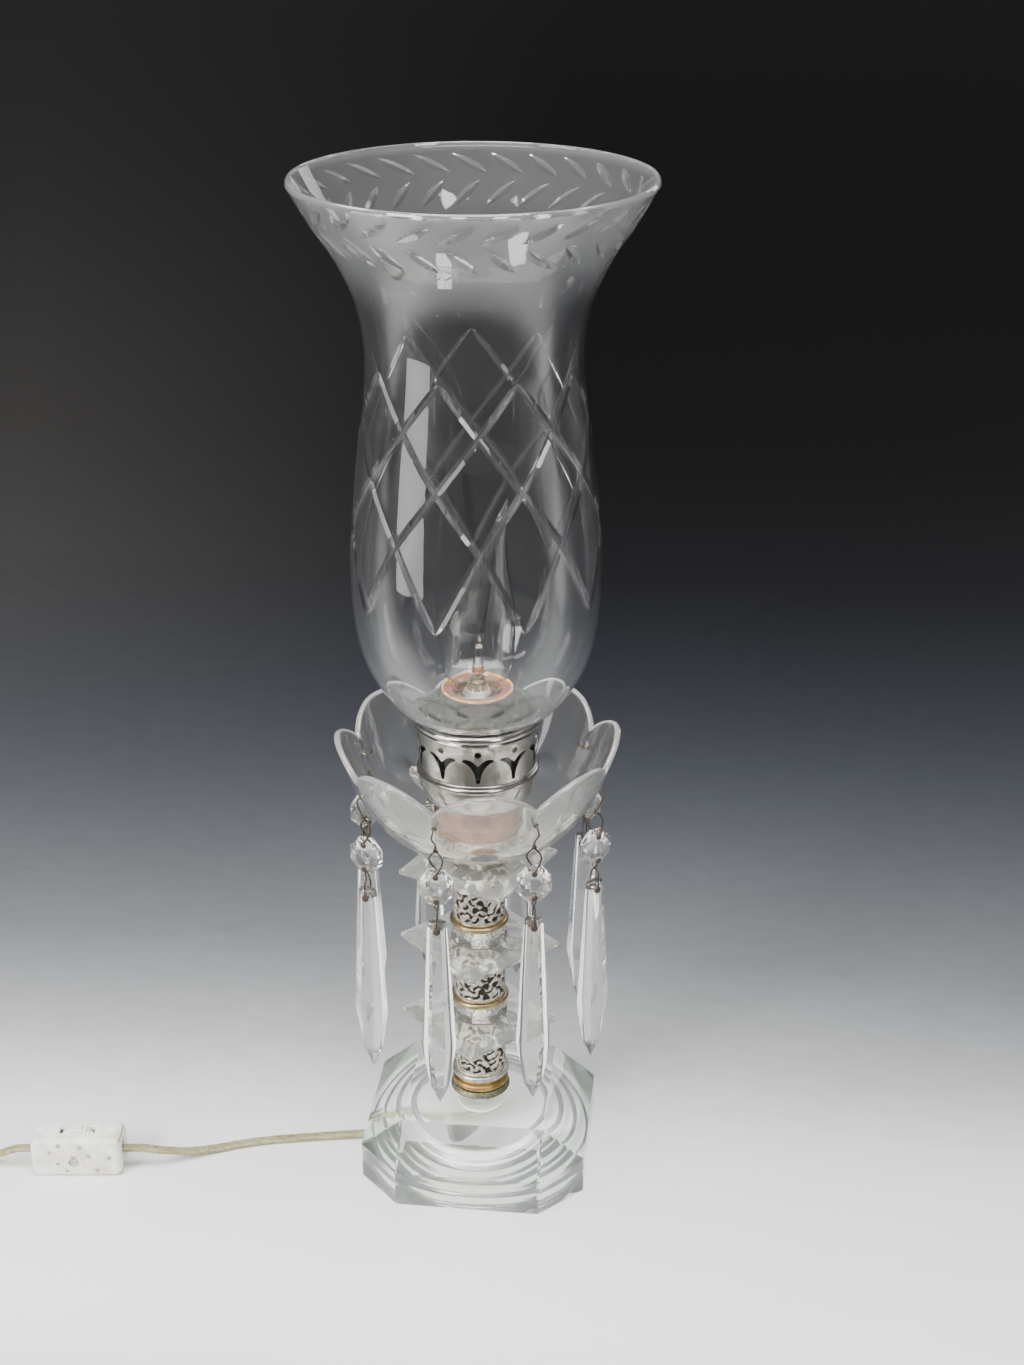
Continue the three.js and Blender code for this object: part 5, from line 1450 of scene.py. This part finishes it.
def make_switch_half(side):
    """Rounded half shell: a D outline carried along the switch, drawn in by a quarter round at both ends.

    The ends bulge at mid height, x = reach (1 - 0.13 |2 z / height - 1|^2.6)."""
    round_off, parting = 2.6, 0.12
    quarter = np.linspace(0, math.pi / 2, 12)
    inward, upward = SWITCH_THICK / 2 - round_off, SWITCH_HEIGHT - round_off
    outline = [(parting, 0.35), (parting + 0.35, 0)]
    outline += [(inward + round_off * math.sin(a), round_off - round_off * math.cos(a)) for a in quarter]
    outline += [(inward + round_off * math.cos(a), upward + round_off * math.sin(a)) for a in quarter]
    outline += [(parting + 0.35, SWITCH_HEIGHT), (parting, SWITCH_HEIGHT - 0.35)]
    outline = np.array(outline)
    middle = np.array([parting, SWITCH_HEIGHT / 2])
    half = SWITCH_LONG / 2
    rings = []
    for end in (-1, 1):
        for reach in np.linspace(0, math.pi / 2, 9)[::end]:
            x = end * (half - round_off + round_off * math.sin(reach))
            shrink = 1 - round_off * (1 - math.cos(reach)) / np.array([SWITCH_THICK / 2, SWITCH_HEIGHT / 2])
            flat = middle + (outline - middle) * shrink
            bulge = 1 - 0.13 * np.abs(flat[:, 1] * 2 / SWITCH_HEIGHT - 1) ** 2.6
            rings.append(np.column_stack([x * bulge, side * flat[:, 0], flat[:, 1]]))
    shell = loft("switch_shell_" + ("front" if side < 0 else "back"), on_switch(rings), smooth_angle=38)
    inside = block("inside", ((2 - half, min(-1, side * 8), 2), (half - 2, max(1, side * 8), SWITCH_HEIGHT - 2)))
    slot = block("slot", ((-WHEEL_RADIUS + 0.4, -2.9, SWITCH_HEIGHT - 4), (WHEEL_RADIUS - 0.4, 2.9, SWITCH_HEIGHT + 2)))
    shell = cut_out(cut_out(shell, [inside]), [slot])
    turn = full_turn(24)
    mouth = np.stack([np.zeros(24), 3.35 * np.cos(turn), SWITCH_HEIGHT / 2 + 1.9 * np.sin(turn)], -1)
    cutters = []
    for end in (-1, 1):
        cutters.append(loft("mouth", on_switch([mouth + (end * reach, 0, 0) for reach in (half - 3, half + 2)])))
    if side < 0:
        well = [screw_ring(3.1, y) for y in (-12, -SWITCH_THICK / 2 + 1.4)]
        cutters.append(loft("well", on_switch(well)))
    return cut_out(shell, cutters, smooth_angle=38)


def screw_ring(radius, y):
    """Circle round the switch screw's axis."""
    turn = full_turn(28)
    return np.stack([radius * np.cos(turn), np.full(28, y), radius * np.sin(turn)], -1) + SCREW_PLACE


def make_screw():
    """Small slotted cheese-head screw in its well."""
    face = -SWITCH_THICK / 2
    steps = ((2.6, face + 1.6), (2.6, face + 0.75), (2.2, face + 0.45), (0.9, face + 0.35))
    head = loft("switch_screw", on_switch([screw_ring(radius, y) for radius, y in steps]), smooth_angle=40)
    return cut_out(head, [block("kerf", ((-4.5, face - 0.5, 9.15), (1.5, face + 0.85, 9.85)))])


def make_wheel():
    """Thumb wheel with rounded ridges: r = R - 0.35 (1 + cos 26 a)."""
    turn = full_turn(WHEEL_RIDGES * 8)
    ridge = 0.35 * (1 + np.cos(WHEEL_RIDGES * turn))
    rings = []
    side = [(-7.9, 9.2, 0), (-7.7, 8.8, 0), (-2.5, 8.8, 0), (-2.5, 1.5, 0.2), (-2.5, 0.8, 0.6), (-1.9, 0.0, 1)]
    for y, inset, keep in side + [(-y, inset, keep) for y, inset, keep in side[::-1]]:
        radius = WHEEL_RADIUS - inset - ridge * keep
        rings.append(np.stack([radius * np.cos(turn), np.full(len(turn), y), WHEEL_RISE + radius * np.sin(turn)], -1))
    return loft("thumb_wheel", on_switch(rings), smooth_angle=40)


PLUG_SPOT = flex_path[-1]
PLUG_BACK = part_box("plug_body")[0][1] / MM
PLUG_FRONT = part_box("plug_body")[1][1] / MM
BLADE_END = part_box("plug_blade_1")[1][1] / MM
TIE_AZIMUTH = 70.0


def make_plug():
    """Moulded plug: rounded outlines that swell from the cord to a flat face, with three grip ridges a side."""
    turn = full_turn(64)
    rings = []
    stations = smooth_line([(0, 4.2, 3.0), (4, 5.4, 3.6), (8.5, 9.6, 5.0), (13, 11.6, 6.1), (20, 11.9, 6.4),
                            (28.5, 11.8, 6.35), (31, 11.5, 6.1), (32, 10.4, 5.2)], 46)
    for along, wide, tall in stations:
        grip = 0.45 * sum(math.exp(-((along - spot) / 0.8) ** 2) for spot in (12, 15.5, 19))
        x = np.sign(np.cos(turn)) * np.abs(np.cos(turn)) ** 0.62 * (wide - grip)
        z = np.sign(np.sin(turn)) * np.abs(np.sin(turn)) ** 0.62 * tall
        rings.append(np.stack([x + PLUG_SPOT[0], np.full(64, PLUG_BACK + along), z + 6.5], -1))
    return loft("moulded_plug", rings, smooth_angle=45)


def make_blade(side):
    """Flat brass blade with bevelled tip corners and a round hole."""
    x = PLUG_SPOT[0] + side * 6.35
    z = (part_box("plug_blade_1")[0][2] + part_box("plug_blade_1")[1][2]) / 2 / MM
    outline = [(PLUG_FRONT - 5, -3.15), (BLADE_END - 1.6, -3.15), (BLADE_END, -1.5), (BLADE_END, 1.5),
               (BLADE_END - 1.6, 3.15), (PLUG_FRONT - 5, 3.15)]
    rings = []
    for off, inset in ((-0.75, 0.25), (-0.5, 0), (0.5, 0), (0.75, 0.25)):
        rings.append([(x + off, y - (inset if y > PLUG_FRONT else 0), z + h * (1 - inset / 3.15)) for y, h in outline])
    blade = loft(f"brass_blade_{1 if side < 0 else 2}", rings, smooth_angle=20)
    hole = np.array([(x + reach, BLADE_END - 4.5, z) for reach in (-3, 0, 3)])
    return cut_out(blade, [wire("hole", hole, 1.5, 24)], smooth_angle=20)


def make_tie():
    """Thin paper strap once round the coil's turns, its two ends twisted together on the outside."""
    out, side = way_out(TIE_AZIMUTH)
    centre = np.array([COIL_START[0], COIL_START[1] + COIL_OUTER, 0])
    loop = smooth_line([
        (51.2, 0.11), (40, 0.1), (28, 0.1), (22.6, 1.1), (21.6, 3.8), (23.2, 6.6), (28, 7.25), (40, 7.25),
        (48.6, 7.2), (51.4, 5.4), (52.0, 2.6), (51.2, 0.11)], 130)[:-1]
    inward = unit(loop.mean(0) - loop)
    rings = []
    for off, inset in ((-2.1, 0.0), (-2.1, 0.09), (2.1, 0.09), (2.1, 0.0)):
        line = loop + inward * inset
        rings.append(np.column_stack([line[:, 0], np.full(len(line), off), line[:, 1]]))
    strap = loft("coil_tie", framed(rings, centre, out, side), wrap=True, smooth_angle=50)
    turn = np.linspace(0, 7 * math.pi, 70)
    ends = []
    for start in (0, math.pi):
        spin = np.stack([52.3 + turn * 0.33, 0.55 * np.cos(turn + start), 2.6 + 0.55 * np.sin(turn + start)], -1)
        ends.append(wire("twist", framed(spin, centre, out, side), 0.5, 8))
    return joined("paper_tie", [strap, *ends])


# Finishes; the base is greener and darker at its outer facets, partly its own tint and partly painted shade, and
# moulded, so rougher, in its recess

# Milky shares below are dust and, in part, painted light; frosted rims and cuts are, in part, painted highlights
base_glass = clear_glass("thick_greenish_glass", (0.925, 0.955, 0.93), 1.52, haze=0.02, dust=0.06, milky_dust_and_painted_light=0.05)
from_axis = base_glass.node("ShaderNodeVectorMath", {0: base_glass.place, 1: (1, 1, 0)}, operation="MULTIPLY")
from_axis = base_glass.node("ShaderNodeVectorMath", {0: from_axis.outputs[0]}, operation="LENGTH").outputs["Value"]
height = base_glass.node("ShaderNodeSeparateXYZ", {0: base_glass.place}).outputs[2]
rim = base_glass.range(from_axis, 0.0575, 0.060, 0, 1)
# Partly painted shade: the outer facets are darker grey-green than the glass's own tint
base_glass.drive("Base Color", base_glass.mix(rim, (0.955, 0.97, 0.955), (0.40, 0.435, 0.405)))
moulded = base_glass.math("MULTIPLY", base_glass.range(from_axis, 0.055, 0.054, 0, 1),
                          base_glass.range(height, 0.019, 0.018, 0, 1))
base_glass.drive("Roughness", base_glass.math("ADD", base_glass.math("MULTIPLY", moulded, 0.22), 0.02))
dish_glass = clear_glass("pressed_dish_glass", (0.96, 0.955, 0.91), 1.51, haze=0.015, dust=0.05, milky_dust_and_painted_light=0.012, frost_and_painted_light=0.20)
crystal = clear_glass("lead_crystal", (0.965, 0.97, 0.955), 1.56, haze=0.008, dust=0.02, milky_dust_and_painted_light=0.018)
shade_glass = clear_glass("thin_shade_glass", (0.985, 0.99, 0.985), 1.5, haze=0.012, dust=0.03, milky_dust_and_painted_light=0.002, frost_and_painted_light=0.16)
break_glass = clear_glass("pressed_break_glass", (0.95, 0.95, 0.91), 1.52, haze=0.015, dust=0.05, milky_dust_and_painted_light=0.06)
lamp_glass = clear_glass("thin_bulb_glass", (0.99, 0.985, 0.97), 1.48, haze=0.008, dust=0.02)

# Pale and hardly metallic: partly a pale plating, partly painted light that lifts the nut and pipe out of the shade in
# the base's recess
zinc_with_painted_light = worn_metal("pale_zinc_painted_light", (0.90, 0.90, 0.88), (0.72, 0.71, 0.68), 0.5, tarnish=0.3, scale=240, metallic=0.05)
nickel = worn_metal("polished_nickel", (0.54, 0.53, 0.51), (0.25, 0.23, 0.20), 0.03, tarnish=0.26, scale=120)
brass = worn_metal("aged_brass", (0.44, 0.35, 0.205), (0.13, 0.085, 0.04), 0.24, tarnish=0.40, scale=320)
cap_brass = worn_metal("dull_foot_brass", (0.50, 0.33, 0.12), (0.10, 0.06, 0.03), 0.30, tarnish=0.42, scale=240)
silver_bead = worn_metal("rubbed_silver", (0.66, 0.64, 0.58), (0.16, 0.14, 0.11), 0.25, tarnish=0.36, scale=280)
flange_metal = worn_metal("olive_tarnish", (0.30, 0.285, 0.20), (0.055, 0.05, 0.035), 0.42, tarnish=0.34, scale=520)
copper = worn_metal("copper_lacquer", (0.33, 0.145, 0.07), (0.10, 0.05, 0.03), 0.26, tarnish=0.38, scale=120)
face_copper = worn_metal("copper_face_ring", (0.42, 0.19, 0.12), (0.20, 0.09, 0.05), 0.3, tarnish=0.3, scale=200,
                         metallic=0.8)
steel = worn_metal("dull_steel", (0.74, 0.73, 0.70), (0.36, 0.34, 0.31), 0.30, tarnish=0.3, scale=240)
shell_grey = worn_metal("darkened_socket", (0.06, 0.057, 0.055), (0.025, 0.023, 0.022), 0.33, tarnish=0.4, scale=200)
bronze = worn_metal("dark_bronze_wire", (0.115, 0.085, 0.055), (0.03, 0.022, 0.016), 0.42, tarnish=0.42, scale=900)
pin_bronze = worn_metal("brown_pin_heads", (0.085, 0.06, 0.045), (0.03, 0.022, 0.016), 0.5, tarnish=0.42, scale=900,
                        metallic=0.6)
tungsten = Finish("dark_filament", (0.05, 0.045, 0.045), 0.5, Metallic=1.0)


def pierced_silver():
    """Bright rubbed silver on the raised tracery, painted shade, near black, in the sunk openings."""
    silver = Finish("pierced_silver", (0.6, 0.58, 0.52), 0.3, Metallic=1.0)
    ground = silver.attribute("ground")
    patches = silver.noise(420, detail=6, roughness=0.7)
    face = silver.ramp(patches, [(0.34, (0.18, 0.155, 0.115)), (0.5, (0.43, 0.395, 0.335)), (0.68, (0.64, 0.61, 0.54))])
    # Painted shade: the sunk ground is near black, as if the openings went through to darkness
    silver.drive("Base Color", silver.mix(ground, face, (0.006, 0.005, 0.004)))
    silver.drive("Metallic", silver.range(ground, 0, 1, 1.0, 0.0))
    rough = silver.math("ADD", silver.range(patches, 0.3, 0.7, 0.5, 0.24), silver.math("MULTIPLY", ground, 0.4))
    silver.drive("Roughness", rough)
    silver.bump(silver.noise(2400, detail=2), 0.00006, 0.5)
    return silver


def old_plastic(name, colour, dirt, stains):
    """Yellowed moulded plastic with scuffs, small dark marks and stained places."""
    plastic = Finish(name, colour, 0.38, Subsurface_Weight=0.08, Subsurface_Scale=0.002)
    cloud = plastic.ramp(plastic.noise(70, detail=6, roughness=0.65), [(0.4, dirt), (0.62, colour)])
    specks = plastic.ramp(plastic.noise(700, detail=2), [(0.245, (0.10, 0.08, 0.06)), (0.29, (1, 1, 1))])
    shade = plastic.mix(0.75, cloud, specks, "MULTIPLY")
    for place, reach, tone in stains:
        gap = plastic.node("ShaderNodeVectorMath", {0: plastic.place, 1: place}, operation="DISTANCE").outputs["Value"]
        ragged = plastic.math("ADD", gap, plastic.math("MULTIPLY", plastic.noise(260, detail=4), reach * 0.9))
        shade = plastic.mix(plastic.range(ragged, reach * 0.7, reach * 1.5, 0.8, 0.0), shade, tone)
    plastic.drive("Base Color", shade)
    plastic.drive("Roughness", plastic.range(plastic.noise(120, detail=5), 0.35, 0.7, 0.5, 0.3))
    plastic.bump(plastic.noise(900, detail=3), 0.00005, 0.4)
    return plastic


# Marks on the switch: place in its own frame, reach in metres, colour
MARKS = [
    ((SWITCH_LONG / 2 - 0.5, 0, SWITCH_HEIGHT / 2 + 2), 0.006, (0.20, 0.12, 0.06)),
    ((0.5 - SWITCH_LONG / 2, 0, SWITCH_HEIGHT / 2), 0.004, (0.32, 0.24, 0.15)),
]
FRONT_MARKS = [(-9.6, 21.2, 2.25), (-14.8, 16.8, 1.5), (2.6, 20.1, 2.25), (7.4, 14.1, 2.1), (-10.7, 8.7, 1.5),
               (18.9, 13.0, 2.1), (-5.5, 3.8, 1.5), (11.5, 4.3, 1.95), (-1.5, 12.9, 2.1)]
MARKS += [((x, -SWITCH_THICK / 2, z), reach * MM, (0.17, 0.15, 0.13)) for x, z, reach in FRONT_MARKS]


def mottled(name, colour, roughness, scale, stops, **grain):
    """Plain finish whose colour drifts between two tones."""
    finish = Finish(name, colour, roughness)
    finish.drive("Base Color", finish.ramp(finish.noise(scale, **grain), stops))
    return finish


silver_tracery = pierced_silver()
white = old_plastic("old_white_plastic", (0.90, 0.89, 0.85), (0.70, 0.67, 0.60),
                    [(tuple(on_switch(place) * MM), reach, tone) for place, reach, tone in MARKS])
plug_plastic = old_plastic("plug_plastic", (0.78, 0.77, 0.71), (0.58, 0.55, 0.46), [])
fibre = mottled("amber_fibre", (0.42, 0.20, 0.07), 0.45, 300,
                [(0.35, (0.24, 0.10, 0.03)), (0.65, (0.55, 0.29, 0.11))], stretch=(1, 1, 0.2))
phenolic = mottled("brown_phenolic", (0.07, 0.035, 0.025), 0.32, 120,
                   [(0.4, (0.035, 0.02, 0.015)), (0.65, (0.11, 0.05, 0.035))], detail=6)
paper_tie = mottled("paper_tie", (0.74, 0.72, 0.66), 0.8, 240,
                    [(0.35, (0.55, 0.52, 0.44)), (0.6, (0.76, 0.74, 0.68))], detail=4)


# Assembly: every piece rides on its body; most stand for CAD nodes, which are hidden

put(make_base(), base_glass, "base_glass", "glass_base")
put(make_nut(), zinc_with_painted_light, "steel", "base_nut")
put(make_pipe(), zinc_with_painted_light, "steel", "lamp_pipe")
put(make_foot_flange(), flange_metal, "tarnished_metal", "foot_flange")
put(make_foot_cap(), cap_brass, "aged_brass", "foot_cap")
put(make_ring("column_ring_3"), silver_bead, "aged_silver", "column_ring_3")
for ring_name in ("column_ring_1", "column_ring_2"):
    put(make_ring(ring_name), brass, "aged_brass", ring_name)
for seed, sleeve_name in enumerate(("filigree_sleeve_1", "filigree_sleeve_2", "filigree_sleeve_3"), start=5):
    put(make_sleeve(sleeve_name, seed), silver_tracery, "aged_silver", sleeve_name)
for break_name in PLATE_TURNS:
    put(make_break(break_name), break_glass, "base_glass", break_name)
put(make_dish_seat(), brass, "aged_brass", "dish_seat")
put(make_dish(), dish_glass, "base_glass", "dish")
put(make_band(), copper, "copper_enamel", "copper_band")
put(make_holder(), nickel, "nickel", "shade_holder")
put(make_socket_cap(), shell_grey, "socket_grey", "socket_cap")
put(make_socket_shell(), shell_grey, "socket_grey", "socket_shell")
put(make_liner(), fibre, "fibre", "socket_liner")
put(make_socket_body(), phenolic, "phenolic", "socket_body")
put(make_socket_face(), face_copper, "copper_enamel")
put(make_screw_shell(), brass, "aged_brass", "screw_shell")

put(make_bulb(), lamp_glass, "shade_glass", "bulb_glass", body="bulb")
put(make_bulb_cap(), brass, "aged_brass", "bulb_cap", body="bulb")
glass_stem, filament = make_stem()
put(glass_stem, lamp_glass, "shade_glass", "bulb_stem", body="bulb")
put(filament, tungsten, "steel", body="bulb")

put(make_shade(), shade_glass, "shade_glass", "shade", body="shade")

for k in range(PETALS):
    bead, prism = f"bead_{k + 1}", f"prism_{k + 1}"
    put(make_hanger(k), bronze, "bronze_wire", f"hanger_wire_{k + 1}", body=bead)
    put(make_bead(k), crystal, "crystal", f"crystal_bead_{k + 1}", body=bead)
    for drop in (BEAD_DROP - BEAD_HOLE, BEAD_DROP + BEAD_HOLE):
        put(make_pin(k, drop, BEAD_PIN_DEPTH), pin_bronze, "bronze_wire", body=bead)
    put(make_prism(k), crystal, "crystal", f"prism_{k + 1}", body=prism)
    put(make_link(k), bronze, "bronze_wire", body=prism)
    put(make_pin(k, PRISM_PIN, PRISM_PIN_DEPTH, PRISM_PIN_SCALE), pin_bronze, "bronze_wire", body=prism)

put(make_switch_half(-1), white, "white_plastic", "switch_front")
put(make_switch_half(1), white, "white_plastic", "switch_back")
put(make_screw(), steel, "steel")
put(make_wheel(), white, "white_plastic", "switch_wheel", body="switch_wheel")
put(make_plug(), plug_plastic, "white_plastic", "plug_body")
for side, blade_name in ((-1, "plug_blade_1"), (1, "plug_blade_2")):
    put(make_blade(side), brass, "aged_brass", blade_name)
put(make_tie(), paper_tie, "white_plastic")
